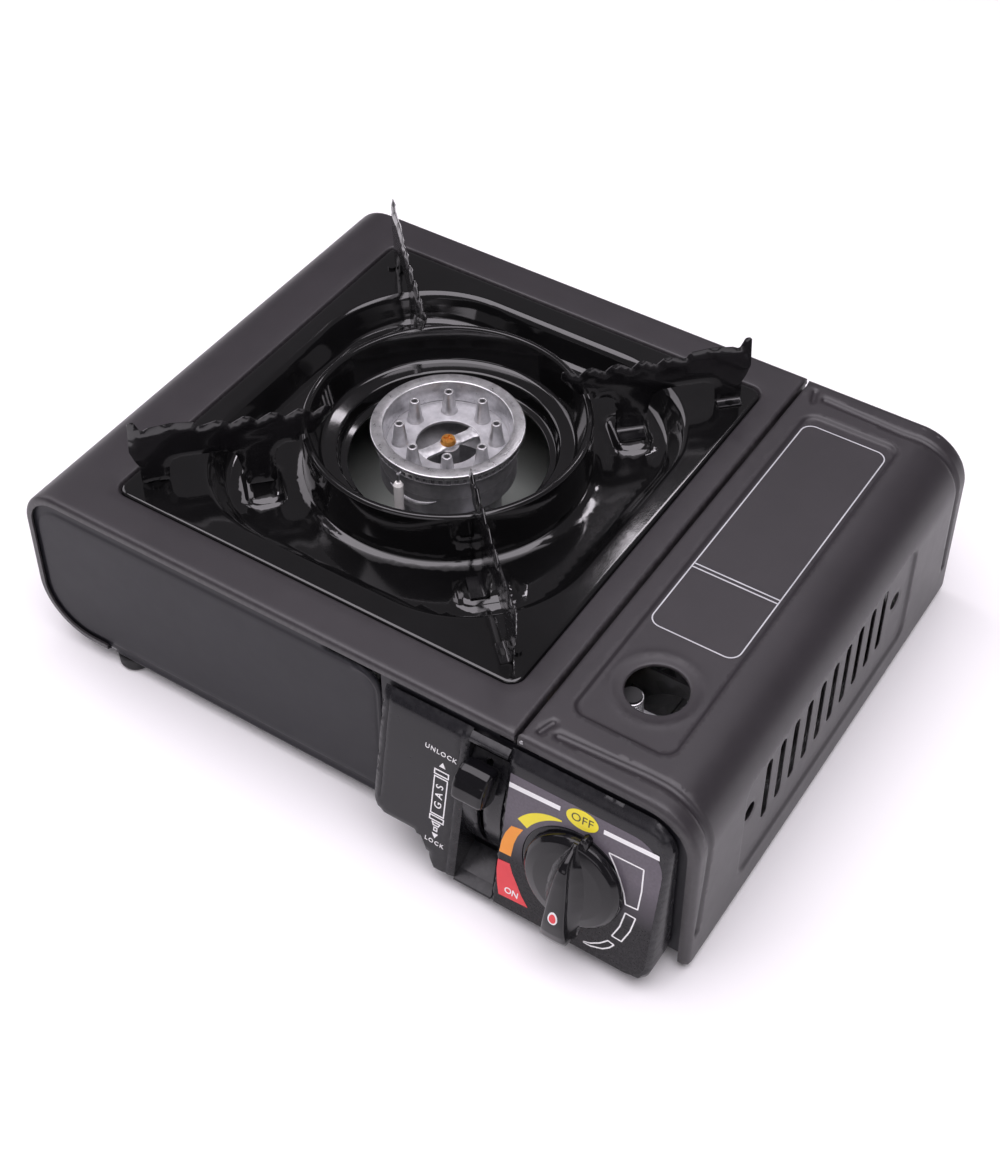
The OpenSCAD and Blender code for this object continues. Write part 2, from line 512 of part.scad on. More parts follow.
// ---- gas cover ----
module gas_cover() color([0.17, 0.15, 0.14]) placed() difference() {
  union() {
    along_y(-hd, hd) gas_wrap2d(sheet);
    along_y(-hd, -hd + 1) gas_wrap2d(5);
    along_y(hd - 1, hd) gas_wrap2d(5);
    // recessed field of the top
    translate([121, 0, top_z - 2.2]) linear_extrude(1.7) rrect(45, 208, 5);
    translate([121.4, -74.8, top_z - 6]) cylinder(h = 5.5, r = sight_r + 1);
  }
  translate([121, 0, top_z - 1.2]) linear_extrude(4) rrect(43, 206, 4);
  translate([121.4, -74.8, top_z - 12]) cylinder(h = 20, r = sight_r);
  for (s = [-1, 1]) translate([hinge_x, s * hd, hinge_z]) rotate([90, 0, 0]) cylinder(h = 6, r = 0.97, center = true);
  for (i = [0:slot_count - 1]) translate([hw, -64.8 + i * (slot_count > 1 ? 108.6 / (slot_count - 1) : 0), 51.4]) rotate([0, 90, 0])
    linear_extrude(6, center = true) rrect(slot_len, slot_w, slot_w / 2 - 0.01);
  for (p = [[-79.6, 52.6], [57.6, 51.6]]) translate([hw, p[0], p[1]]) rotate([0, 90, 0]) cylinder(h = 6, r = 4, center = true);
}

// ---- tray ----
module well2d(i) rrect(tray_x - 20 - i, tray_y - 24 - i, 58 - i / 2);
module drip_tray() color([0.04, 0.04, 0.05]) placed() translate([tray_cx, tray_cy, 0]) union() {
  translate([0, 0, tray_top - 1]) linear_extrude(1) difference() { rrect(tray_x, tray_y, 6); well2d(2); }
  translate([0, 0, tray_top - 2.1]) linear_extrude(2.1) difference() { rrect(tray_x, tray_y, 6); rrect(tray_x - 2, tray_y - 2, 5); }
  translate([0, 0, well_z - 1]) linear_extrude(tray_top - well_z + 1) difference() { well2d(0); well2d(2); }
  translate([0, 0, well_z - 1]) linear_extrude(1) difference() { well2d(0); circle(ring_r - 0.4, $fn = 96); }
  ring_part();
  for (a = [45:90:315]) rotate([0, 0, a]) translate([84, 0, well_z - 0.5]) linear_extrude(3) rrect(16, 26, 5);
}
module ring_part() rotate_extrude($fn = 96) polygon([
  [45.5, top_z - 11.0], [49.8, top_z - 10.2], [50.8, top_z - 4.1], [58, top_z - 3.1], [ring_r - 2.2, top_z + ring_up - 2],
  [ring_r - 1.2, top_z + ring_up - 2], [ring_r - 0.6, well_z - 1], [ring_r + 0.4, well_z - 1], [ring_r, top_z + ring_up - 0.8],
  [ring_r - 0.8, top_z + ring_up], [ring_r - 2.4, top_z + ring_up], [ring_r - 3.2, top_z + ring_up - 0.8],
  [57.4, top_z - 2], [50, top_z - 3], [49, top_z - 9.2], [45.5, top_z - 10.0]]);

k = prong_up / 37.5;
function up(v) = v * k;
tips = [[139, 36.5], [138, 37.5], [136, 37.5], [134.6, 34], [133.5, 31.4], [130.5, 33], [121, 34.2], [111, 33.2],
  [108.5, 30], [104.5, 31], [101, 32], [98.5, 31.6], [95.3, 28.6], [92, 30.6], [89.2, 32.3], [86.6, 31.6], [83.6, 28.4],
  [80.5, 30.6], [77.4, 32.4], [74.5, 31.6], [71.4, 28.5], [68.2, 30.6], [65.4, 32.3], [62.6, 31.5], [59.4, 28.2],
  [56.6, 30.4], [53.6, 32.3], [51.6, 31.4], [51.4, 27.5]];
module support2d() polygon(concat(
  [[139.8, top_z + up(20)]],
  [for (p = tips) [p[0], top_z + up(p[1])]],
  [[60, top_z + ring_up + 1.2], [66, top_z + ring_up + 1.2], [66.4, top_z + up(12.4)], [72.5, top_z + up(12.6)], [76, top_z + up(10)], [77.4, top_z + up(4)],
   [77.4, well_z + 2.5], [90.8, well_z + 2.5], [93, top_z + up(4)], [94.5, top_z + up(10)], [98, top_z + up(12.4)], [110, top_z + up(13)], [118, top_z + up(13)], [122, top_z + up(11.5)], [123.5, top_z + up(8)],
   [124, tray_top], [136.2, tray_top], [136.2, top_z + up(10)], [138, top_z + up(14)]]));
module support_at(a) translate([tray_cx, tray_cy, 0]) rotate([0, 0, a]) along_y(-support_t / 2, support_t / 2) support2d();
module pan_support_front_left() color([0.04, 0.04, 0.05]) placed() support_at(225);
module pan_support_front_right() color([0.04, 0.04, 0.05]) placed() support_at(315);
module pan_support_rear_left() color([0.04, 0.04, 0.05]) placed() support_at(135);
module pan_support_rear_right() color([0.04, 0.04, 0.05]) placed() support_at(45);
module support_rivets() color([0.05, 0.05, 0.06]) placed() translate([tray_cx, tray_cy, tray_top]) for (a = [45:90:315], s = [-1, 1])
  rotate([0, 0, a]) translate([130, s * (support_t / 2 + 2), 0]) cylinder(h = 1.2, r = 2);

// ---- knob ----
module control_knob() color([0.05, 0.05, 0.05]) placed() on_face(knob_x, knob_s) difference() {
  union() {
    translate([0, 0, 0.9]) cylinder(h = 3.6, r1 = knob_r, r2 = knob_r - 0.6, $fn = 96);
    translate([0, 0, 4.5]) cylinder(h = 1.6, r1 = knob_r - 0.6, r2 = knob_r - 3, $fn = 96);
    intersection() {
      linear_extrude(grip_up) polygon([[0, knob_r - 0.5], [-3.2, 17], [-6.6, 8], [-8, 0], [-7.8, -8], [-6.8, -16], [-6.2, -24], [-4.8, -28], [4.8, -28],
        [6.2, -24], [6.8, -16], [7.8, -8], [8, 0], [6.6, 8], [3.2, 17]]);
      along_x(-12, 12) polygon([[-knob_r + 0.6, 3.4], [-27.6, 3.2], [-28.4, 8], [-27, grip_up - 3.4], [-22, grip_up - 1.1], [-15, grip_up], [9, grip_up],
        [14, grip_up - 1.2], [19, 7.4], [knob_r - 0.6, 5.2], [knob_r - 0.6, 3.4]]);
    }
    translate([3, knob_r + 0.4, 0.9]) cylinder(h = 3.6, r = 2.4);
  }
  translate([0, 0, 0]) difference() { cylinder(h = 12.5, r = 3.05); box([-4, 2.05, 1.1], [4, 5, 13]); }
  difference() { translate([0, 0, 0]) cylinder(h = 3, r = knob_r - 2.5, $fn = 96); cylinder(h = 4, r = 6); }
}
module knob_mark() color([0.85, 0.1, 0.12]) placed() on_face(knob_x, knob_s) translate([0, -10.6, grip_up]) linear_extrude(0.3)
  polygon([for (a = [0:15:345]) [2 * sin(a), -2 * cos(a) * (cos(a) < 0 ? 2.2 : 1) * (cos(a) < 0 ? pow(abs(cos(a)), 0.6) : 1)]]);

base_pan();
main_cover();
front_panel();
rear_panel();
partition_wall();
valve_mount_plate();
control_panel();
control_plate();
reflector_plate();
burner_bracket();
bracket_screws();
burner_body();
burner_head();
burner_screw();
mixing_tube();
gas_injector();
regulator_body();
regulator_diaphragm();
regulator_cap();
cap_screws();
regulator_bracket();
safety_spring();
safety_plunger();
valve_body();
cartridge_socket();
nozzle_seal();
cartridge_guide();
slide_guides();
piezo_igniter();
ignition_lead();
electrode_ceramic();
electrode_tip();
electrode_clip();
lever_bracket();
lever_pin();
hinge_pins();
feet();
foot_screws();
rear_screws();
gas_cover();
drip_tray();
pan_support_front_left();
pan_support_front_right();
pan_support_rear_left();
pan_support_rear_right();
support_rivets();
control_knob();
knob_mark();
valve_stem();
lock_lever();
lever_arm();
cartridge_slide();
slide_link();
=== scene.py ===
import math
import bpy
import bmesh
import numpy as np
from mathutils import Vector, Matrix
from mathutils.geometry import delaunay_2d_cdt


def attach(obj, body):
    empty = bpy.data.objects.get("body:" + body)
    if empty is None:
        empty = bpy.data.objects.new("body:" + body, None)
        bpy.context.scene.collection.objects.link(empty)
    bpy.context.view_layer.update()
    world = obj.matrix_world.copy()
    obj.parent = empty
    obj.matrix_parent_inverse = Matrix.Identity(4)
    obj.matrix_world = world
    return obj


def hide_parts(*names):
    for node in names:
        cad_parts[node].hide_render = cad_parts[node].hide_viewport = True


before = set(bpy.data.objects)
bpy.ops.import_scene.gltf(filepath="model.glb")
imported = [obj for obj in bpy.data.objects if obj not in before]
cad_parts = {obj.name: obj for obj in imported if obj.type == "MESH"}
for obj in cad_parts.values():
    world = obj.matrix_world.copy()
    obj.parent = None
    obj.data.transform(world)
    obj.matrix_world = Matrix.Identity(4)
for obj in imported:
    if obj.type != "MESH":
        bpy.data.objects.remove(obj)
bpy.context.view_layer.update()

YS = 14.615                       # the casing's own frame to the model's frame, mm
HD = 126.5
TOP = 94.0
LEAN = math.radians(10.57)
SL, CL = math.sin(LEAN), math.cos(LEAN)


# ------------------------------------------------------------------ camera
def camera():
    az, el = math.radians(32.914), math.radians(42.333)
    back = Vector((math.sin(az) * math.cos(el), -math.cos(az) * math.cos(el), math.sin(el)))
    right = Vector((math.cos(az), math.sin(az), 0))
    up = back.cross(right)
    cam = bpy.data.cameras.new("view")
    ob = bpy.data.objects.new("view", cam)
    ob.matrix_world = Matrix((
        (right.x, up.x, back.x, 0.351536),
        (right.y, up.y, back.y, -0.530092),
        (right.z, up.z, back.z, 0.696505),
        (0, 0, 0, 1)))
    cam.sensor_width = 36
    cam.sensor_fit = 'AUTO'
    cam.lens = 36 * 2003.04 / 1167
    cam.shift_y = -0.12
    cam.clip_start = 0.05
    cam.clip_end = 30
    bpy.context.scene.collection.objects.link(ob)
    bpy.context.scene.camera = ob


camera()


# --------------------------------------------------------------- materials
class Nodes:
    def __init__(self, name):
        self.m = bpy.data.materials.new(name)
        self.m.use_nodes = True
        self.t = self.m.node_tree
        self.b = self.t.nodes["Principled BSDF"]
        self.co = self.t.nodes.new("ShaderNodeTexCoord").outputs["Object"]

    def n(self, kind, **inp):
        nd = self.t.nodes.new(kind)
        for k, v in inp.items():
            nd.inputs[k.replace("_", " ")].default_value = v
        return nd

    def link(self, a, b):
        self.t.links.new(a, b)

    def noise(self, scale, detail=4.0, rough=0.55, stretch=None):
        nd = self.n("ShaderNodeTexNoise", Scale=scale, Detail=detail, Roughness=rough)
        src = self.co
        if stretch:
            mp = self.t.nodes.new("ShaderNodeMapping")
            mp.inputs["Scale"].default_value = stretch
            self.link(src, mp.inputs["Vector"])
            src = mp.outputs["Vector"]
        self.link(src, nd.inputs["Vector"])
        return nd.outputs["Fac"]

    def ramp(self, fac, stops, interp='LINEAR'):
        nd = self.t.nodes.new("ShaderNodeValToRGB")
        nd.color_ramp.interpolation = interp
        cr = nd.color_ramp
        while len(cr.elements) < len(stops):
            cr.elements.new(0.5)
        for e, (p, c) in zip(cr.elements, stops):
            e.position = p
            e.color = (c, c, c, 1) if isinstance(c, (int, float)) else (*c, 1)
        self.link(fac, nd.inputs["Fac"])
        return nd.outputs["Color"]

    def math(self, op, a, b=None, c=None):
        nd = self.t.nodes.new("ShaderNodeMath")
        nd.operation = op
        for i, v in enumerate((a, b, c)):
            if v is None:
                continue
            if isinstance(v, (int, float)):
                nd.inputs[i].default_value = v
            else:
                self.link(v, nd.inputs[i])
        return nd.outputs[0]

    def mix(self, fac, a, b):
        nd = self.t.nodes.new("ShaderNodeMix")
        nd.data_type = 'RGBA'
        for sock, v in ((nd.inputs[0], fac), (nd.inputs[6], a), (nd.inputs[7], b)):
            if isinstance(v, (int, float)):
                sock.default_value = v
            elif isinstance(v, tuple):
                sock.default_value = (*v, 1)
            else:
                self.link(v, sock)
        return nd.outputs[2]

    def bump(self, h, strength, dist, prev=None):
        nd = self.n("ShaderNodeBump", Strength=strength, Distance=dist)
        self.link(h, nd.inputs["Height"])
        if prev is not None:
            self.link(prev, nd.inputs["Normal"])
        return nd.outputs["Normal"]


def paint(name, dark, light, rough, grain, grain_h, coat=0.0, metal=0.0, rvar=0.06, edge=None, spec=0.5,
          mottle=38.0, second=None):
    """Painted, moulded or cast skin: mottled colour, varied gloss, fine grain, and a lighter edge that is partly wear
    and partly a painted highlight.
    """
    g = Nodes(name)
    m = g.noise(mottle, 5, 0.6)
    col = g.mix(g.ramp(m, [(0.3, 0.0), (0.7, 1.0)]), dark, light)
    # edge colour on sharp edges: partly wear, partly a painted highlight along them
    if edge:
        geo = g.t.nodes.new("ShaderNodeNewGeometry")
        e = g.ramp(geo.outputs["Pointiness"], [(0.505, 0.0), (0.56, 1.0)])
        e = g.math('MULTIPLY', e, g.ramp(g.noise(420, 3), [(0.42, 0.15), (0.62, 1.0)]))
        col = g.mix(e, col, edge)
    g.link(col, g.b.inputs["Base Color"])
    r = g.math('ADD', g.math('MULTIPLY', g.math('SUBTRACT', g.noise(95, 6, 0.65), 0.5), rvar * 2), rough)
    g.link(r, g.b.inputs["Roughness"])
    n = g.bump(g.noise(grain, 2, 0.5), 0.35, grain_h)
    if second:
        n = g.bump(g.noise(second[0], 1, 0.4), second[1], second[2], n)
    g.link(n, g.b.inputs["Normal"])
    g.b.inputs["Metallic"].default_value = metal
    g.b.inputs["Specular IOR Level"].default_value = spec
    if coat:
        g.b.inputs["Coat Weight"].default_value = coat
        g.b.inputs["Coat Roughness"].default_value = 0.06
    return g.m


def turned(name, dark, light, rough, centre, cut=1900.0, depth=0.00003):
    """Turned metal: fine rings round an upright axis, and darker pores."""
    g = Nodes(name)
    sep = g.t.nodes.new("ShaderNodeSeparateXYZ")
    g.link(g.co, sep.inputs[0])
    dx = g.math('SUBTRACT', sep.outputs[0], centre[0])
    dy = g.math('SUBTRACT', sep.outputs[1], centre[1])
    rad = g.math('SQRT', g.math('ADD', g.math('MULTIPLY', dx, dx), g.math('MULTIPLY', dy, dy)))
    rings = g.math('SINE', g.math('MULTIPLY', g.math('ADD', rad, g.math('MULTIPLY', g.noise(60, 2), 0.0006)), cut * 6.283))
    m = g.noise(260, 5, 0.7)
    f = g.math('ADD', g.math('MULTIPLY', rings, 0.12), g.ramp(m, [(0.3, 0.0), (0.75, 1.0)]))
    g.link(g.mix(f, dark, light), g.b.inputs["Base Color"])
    g.link(g.math('ADD', g.math('MULTIPLY', m, 0.2), rough - 0.1), g.b.inputs["Roughness"])
    n = g.bump(rings, 0.25, depth)
    g.link(g.bump(m, 0.25, 0.00006, n), g.b.inputs["Normal"])
    g.b.inputs["Metallic"].default_value = 1.0
    return g.m


def brushed(name, dark, light, rough, stretch, metal=1.0, scale=220):
    g = Nodes(name)
    s = g.noise(scale, 4, 0.6, stretch)
    m = g.noise(30, 4, 0.6)
    g.link(g.mix(g.math('ADD', g.math('MULTIPLY', s, 0.6), g.math('MULTIPLY', m, 0.4)), dark, light), g.b.inputs["Base Color"])
    g.link(g.math('ADD', g.math('MULTIPLY', s, 0.25), rough - 0.12), g.b.inputs["Roughness"])
    g.link(g.bump(s, 0.3, 0.00005), g.b.inputs["Normal"])
    g.b.inputs["Metallic"].default_value = metal
    return g.m


def galv(name):
    """Zinc coated sheet: flat spangles of slightly different grey."""
    g = Nodes(name)
    v = g.n("ShaderNodeTexVoronoi", Scale=150)
    g.link(g.co, v.inputs["Vector"])
    c = g.t.nodes.new("ShaderNodeSeparateColor")
    g.link(v.outputs["Color"], c.inputs[0])
    f = g.math('ADD', g.math('MULTIPLY', c.outputs[0], 0.5), g.math('MULTIPLY', g.noise(300, 3), 0.5))
    g.link(g.mix(f, (0.36, 0.37, 0.37), (0.6, 0.61, 0.61)), g.b.inputs["Base Color"])
    g.link(g.math('ADD', g.math('MULTIPLY', c.outputs[1], 0.2), 0.26), g.b.inputs["Roughness"])
    g.link(g.bump(g.noise(700, 2), 0.2, 0.00003), g.b.inputs["Normal"])
    g.b.inputs["Metallic"].default_value = 1.0
    return g.m


M = {}
# the edge colours below (cover, panel, cast, mould) are lighter sharp edges, partly wear and partly painted highlight
M["cover"] = paint("satin_cover", (0.0205, 0.0178, 0.0208), (0.0255, 0.0222, 0.0258), 0.41, 2600, 0.00005, spec=0.60, rvar=0.05, edge=(0.042, 0.039, 0.041), second=(160, 0.12, 0.0003))
M["panel"] = paint("satin_panel", (0.0080, 0.0077, 0.0112), (0.0108, 0.0104, 0.0148), 0.42, 2600, 0.00005, spec=0.26, rvar=0.05, edge=(0.032, 0.032, 0.036), second=(120, 0.12, 0.0003))
M["panel_plain"] = paint("satin_panel_pressed", (0.0090, 0.0087, 0.0115), (0.0120, 0.0116, 0.0152), 0.42, 2600, 0.00005, spec=0.30, rvar=0.05, second=(120, 0.12, 0.0003))
M["mould_plain"] = paint("black_moulding_case", (0.0070, 0.0068, 0.0086), (0.0100, 0.0098, 0.0122), 0.30, 1500, 0.00004, spec=0.36, rvar=0.05, second=(110, 0.08, 0.0003))
M["enamel"] = paint("enamel", (0.0030, 0.0030, 0.0032), (0.0052, 0.0050, 0.0054), 0.085, 900, 0.00002, coat=0.6, rvar=0.03, second=(95, 0.10, 0.0004))
M["galvanised"] = galv("galvanised")
M["reflector"] = brushed("reflector_sheet", (0.40, 0.43, 0.40), (0.56, 0.60, 0.56), 0.42, (1, 14, 1), metal=0.75)
M["cast"] = paint("cast_alloy", (0.37, 0.37, 0.385), (0.50, 0.50, 0.515), 0.54, 1500, 0.00020, metal=0.78, rvar=0.08, mottle=240, edge=(0.70, 0.70, 0.71))
M["cast_plain"] = paint("cast_alloy_body", (0.34, 0.34, 0.355), (0.48, 0.48, 0.495), 0.52, 1500, 0.00020, metal=0.78, rvar=0.08, mottle=240)
M["head"] = turned("machined_alloy", (0.56, 0.56, 0.57), (0.86, 0.86, 0.87), 0.30, (-0.029, 0.015115))
M["nipple"] = paint("nipple_alloy", (0.52, 0.52, 0.53), (0.72, 0.72, 0.73), 0.36, 1200, 0.00008, metal=0.9, rvar=0.08, mottle=300)
M["brass"] = brushed("brass", (0.60, 0.42, 0.18), (0.80, 0.60, 0.28), 0.32, (1, 1, 5))
M["copper"] = paint("screw_copper", (0.62, 0.25, 0.05), (0.86, 0.42, 0.10), 0.30, 1500, 0.00004, metal=0.85, rvar=0.08, mottle=500)
M["steel"] = brushed("steel", (0.50, 0.50, 0.51), (0.70, 0.70, 0.71), 0.32, (5, 1, 1))
M["mould"] = paint("black_moulding", (0.0070, 0.0068, 0.0086), (0.0100, 0.0098, 0.0122), 0.26, 1500, 0.00004, spec=0.36, rvar=0.05, edge=(0.020, 0.020, 0.022), second=(110, 0.08, 0.0003))
M["gloss"] = paint("gloss_moulding", (0.0040, 0.0038, 0.0048), (0.0060, 0.0058, 0.0070), 0.13, 1300, 0.00003, coat=0.12, spec=0.36, rvar=0.04, second=(120, 0.06, 0.0002))
M["blade"] = paint("enamel_on_supports", (0.0045, 0.0043, 0.0050), (0.0080, 0.0076, 0.0086), 0.18, 700, 0.00004, coat=0.5, rvar=0.05, second=(110, 0.35, 0.0006))
M["comb"] = paint("port_comb", (0.42, 0.42, 0.43), (0.62, 0.62, 0.63), 0.42, 1500, 0.00012, metal=0.9, rvar=0.08, mottle=260)
M["rubber"] = paint("rubber", (0.011, 0.011, 0.012), (0.020, 0.020, 0.021), 0.72, 1300, 0.00018, rvar=0.08)
M["ceramic"] = paint("ceramic", (0.80, 0.79, 0.76), (0.90, 0.89, 0.86), 0.22, 800, 0.00003, coat=0.3, rvar=0.05, mottle=160)
M["lead"] = paint("lead", (0.33, 0.02, 0.015), (0.45, 0.04, 0.03), 0.45, 900, 0.00006, rvar=0.08)
M["red"] = paint("red_mark", (0.72, 0.030, 0.045), (0.82, 0.050, 0.060), 0.32, 1500, 0.00002, rvar=0.05)
M["white"] = paint("white_print", (0.80, 0.80, 0.80), (0.92, 0.92, 0.92), 0.40, 1800, 0.00002, rvar=0.06)
M["label"] = paint("label_print", (0.42, 0.43, 0.45), (0.58, 0.59, 0.61), 0.42, 1800, 0.00002, rvar=0.06)
M["yellow"] = paint("yellow_print", (0.82, 0.68, 0.018), (0.90, 0.78, 0.03), 0.36, 1800, 0.00002, rvar=0.06)
M["orange"] = paint("orange_print", (0.85, 0.27, 0.015), (0.95, 0.36, 0.03), 0.36, 1800, 0.00002, rvar=0.06)
M["ink"] = paint("dark_print", (0.045, 0.040, 0.015), (0.075, 0.065, 0.03), 0.45, 1800, 0.00002, rvar=0.06)


def plate_with_painted_reflection():
    """Printed plate: near black, with a paler grey band towards its top that is a painted reflection of the bright
    floor, not print.
    """
    g = Nodes("printed_plate")
    sep = g.t.nodes.new("ShaderNodeSeparateXYZ")
    g.link(g.co, sep.inputs[0])
    h = g.math('ADD', sep.outputs[2], g.math('MULTIPLY', g.math('SUBTRACT', g.noise(70, 2), 0.5), 0.004))
    # painted reflection: the base colour turns paler grey with height, standing in for the floor mirrored in the plate
    f = g.ramp(g.math('MULTIPLY', h, 10.0), [(0.34, 0.0), (0.46, 0.55), (0.56, 1.0)])
    base = g.mix(f, (0.0055, 0.0052, 0.0068), (0.135, 0.120, 0.142))
    g.link(g.mix(g.ramp(g.noise(900, 3), [(0.35, 0.0), (0.7, 0.25)]), base, (0.06, 0.056, 0.06)), g.b.inputs["Base Color"])
    g.link(g.math('ADD', g.math('MULTIPLY', g.noise(120, 5), 0.1), 0.20), g.b.inputs["Roughness"])
    g.b.inputs["Specular IOR Level"].default_value = 0.24
    g.link(g.bump(g.noise(2200, 2), 0.25, 0.00002), g.b.inputs["Normal"])
    return g.m


M["plate"] = plate_with_painted_reflection()


# ------------------------------------------------------------ mesh helpers
ALL = []


def loc(p):
    p = np.asarray(p, float)
    q = p.copy()
    q[..., 1] += YS
    return q / 1000.0


def make(name, verts, faces, mat, body="casing", node=None, slot=None, angle=38, bevel=0.0, seg=2, merge=0.0, flip=True, sub=0):
    me = bpy.data.meshes.new(name)
    me.from_pydata([tuple(v) for v in loc(verts)], [], [tuple(int(i) for i in f) for f in faces])
    bm = bmesh.new()
    bm.from_mesh(me)
    if merge:
        bmesh.ops.remove_doubles(bm, verts=bm.verts, dist=merge / 1000.0)
    if flip:
        bmesh.ops.recalc_face_normals(bm, faces=bm.faces)
    for f in bm.faces:
        f.smooth = True
    bm.to_mesh(me)
    bm.free()
    me.materials.append(mat)
    ob = bpy.data.objects.new(name, me)
    bpy.context.scene.collection.objects.link(ob)
    if bevel:
        b = ob.modifiers.new("edge", 'BEVEL')
        b.width = bevel / 1000.0
        b.segments = seg
        b.limit_method = 'ANGLE'
        b.angle_limit = math.radians(32)
        b.harden_normals = False
        b.use_clamp_overlap = True
    if sub:
        s = ob.modifiers.new("sub", 'SUBSURF')
        s.levels = sub
        s.render_levels = sub
    if bevel or sub:
        dg = bpy.context.evaluated_depsgraph_get()
        new = bpy.data.meshes.new_from_object(ob.evaluated_get(dg))
        ob.modifiers.clear()
        ob.data = new
        bpy.data.meshes.remove(me)
        new.name = name
        for p in new.polygons:
            p.use_smooth = True
    ob.data.set_sharp_from_angle(angle=math.radians(angle))
    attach(ob, body)
    if node:
        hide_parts(*([node] if isinstance(node, str) else node))
    ALL.append(ob)
    return ob


def refine(node, mat, body, bevel=0.25, seg=2, angle=40, piece=None, flat=None):
    """A copy of a CAD solid with its edges broken, as a pressed, cast or moulded edge is."""
    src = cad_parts[node]
    src = src if hasattr(src, "data") else bpy.data.objects[node]
    me = src.data.copy()
    name = piece or (node + "_finish")
    me.name = name
    bm = bmesh.new()
    bm.from_mesh(me)
    bmesh.ops.remove_doubles(bm, verts=bm.verts, dist=1e-6)
    bmesh.ops.dissolve_limit(bm, angle_limit=math.radians(0.6), verts=bm.verts, edges=bm.edges)
    for f in bm.faces:
        f.smooth = True
    bm.to_mesh(me)
    bm.free()
    me.materials.clear()
    me.materials.append(mat)
    ob = bpy.data.objects.new(name, me)
    bpy.context.scene.collection.objects.link(ob)
    b = ob.modifiers.new("edge", 'BEVEL')
    b.width = bevel / 1000.0
    b.segments = seg
    b.limit_method = 'ANGLE'
    b.angle_limit = math.radians(angle)
    b.use_clamp_overlap = True
    dg = bpy.context.evaluated_depsgraph_get()
    new = bpy.data.meshes.new_from_object(ob.evaluated_get(dg))
    ob.modifiers.clear()
    ob.data = new
    bpy.data.meshes.remove(me)
    new.name = name
    for p in new.polygons:
        p.use_smooth = flat is None or p.area < flat
    new.set_sharp_from_angle(angle=math.radians(30))
    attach(ob, body)
    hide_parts(node)
    ALL.append(ob)
    return ob


def arc(cx, cy, r, a0, a1, n=None, step=1.2):
    n = n or max(3, int(abs(math.radians(a1 - a0)) * r / step) + 1)
    return [(cx + r * math.cos(math.radians(a0 + (a1 - a0) * i / n)), cy + r * math.sin(math.radians(a0 + (a1 - a0) * i / n))) for i in range(n + 1)]


def rr(cx, cy, w, h, r, step=2.0):
    out = []
    for sx, sy, a in ((1, -1, -90), (1, 1, 0), (-1, 1, 90), (-1, -1, 180)):
        out += arc(cx + sx * (w / 2 - r), cy + sy * (h / 2 - r), r, a, a + 90, max(3, int(r * 1.57 / min(step, 1.0)) + 1) if r > 0.2 else 1)
    return resample(out, step)


def resample(poly, step):
    out = []
    n = len(poly)
    for i in range(n):
        a, b = np.array(poly[i], float), np.array(poly[(i + 1) % n], float)
        L = np.linalg.norm(b - a)
        if L < 1e-5:
            continue
        k = max(1, int(math.ceil(L / step)))
        for j in range(k):
            out.append(tuple(a + (b - a) * j / k))
    return out


def circ(cx, cy, r, n=48):
    return [(cx + r * math.cos(2 * math.pi * i / n), cy + r * math.sin(2 * math.pi * i / n)) for i in range(n)]


def inside(poly, P):
    p = np.asarray(poly, float)
    x, y = P[:, 0], P[:, 1]
    c = np.zeros(len(P), bool)
    j = len(p) - 1
    for i in range(len(p)):
        xi, yi, xj, yj = p[i, 0], p[i, 1], p[j, 0], p[j, 1]
        if yi != yj:
            c ^= ((yi > y) != (yj > y)) & (x < (xj - xi) * (y - yi) / (yj - yi) + xi)
        j = i
    return c


def sd_poly(poly, P):
    """distance to a closed outline, positive inside"""
    p = np.asarray(poly, float)
    d = np.full(len(P), 1e9)
    for i in range(len(p)):
        a, b = p[i], p[(i + 1) % len(p)]
        e = b - a
        t = np.clip(((P - a) @ e) / max(e @ e, 1e-12), 0, 1)
        d = np.minimum(d, np.hypot(*(P - a - t[:, None] * e).T))
    return np.where(inside(p, P), d, -d)


def sd_rr(u, v, cx, cy, w, h, r):
    qx, qy = np.abs(u - cx) - w / 2 + r, np.abs(v - cy) - h / 2 + r
    return -(np.hypot(np.maximum(qx, 0), np.maximum(qy, 0)) + np.minimum(np.maximum(qx, qy), 0) - r)


def sd_line(u, v, pts):
    d = np.full(u.shape, 1e9)
    for (ax, ay), (bx, by) in zip(pts[:-1], pts[1:]):
        ex, ey = bx - ax, by - ay
        t = np.clip(((u - ax) * ex + (v - ay) * ey) / (ex * ex + ey * ey), 0, 1)
        d = np.minimum(d, np.hypot(u - ax - t * ex, v - ay - t * ey))
    return d


def ss(a, b, x):
    t = np.clip((x - a) / (b - a), 0, 1)
    return t * t * (3 - 2 * t)


def roll(d, r):
    """drop of a rolled edge of radius r at distance d from the edge"""
    t = np.clip(1 - d / r, 0, 1)
    return r * (1 - np.sqrt(np.maximum(0, 1 - t * t)))


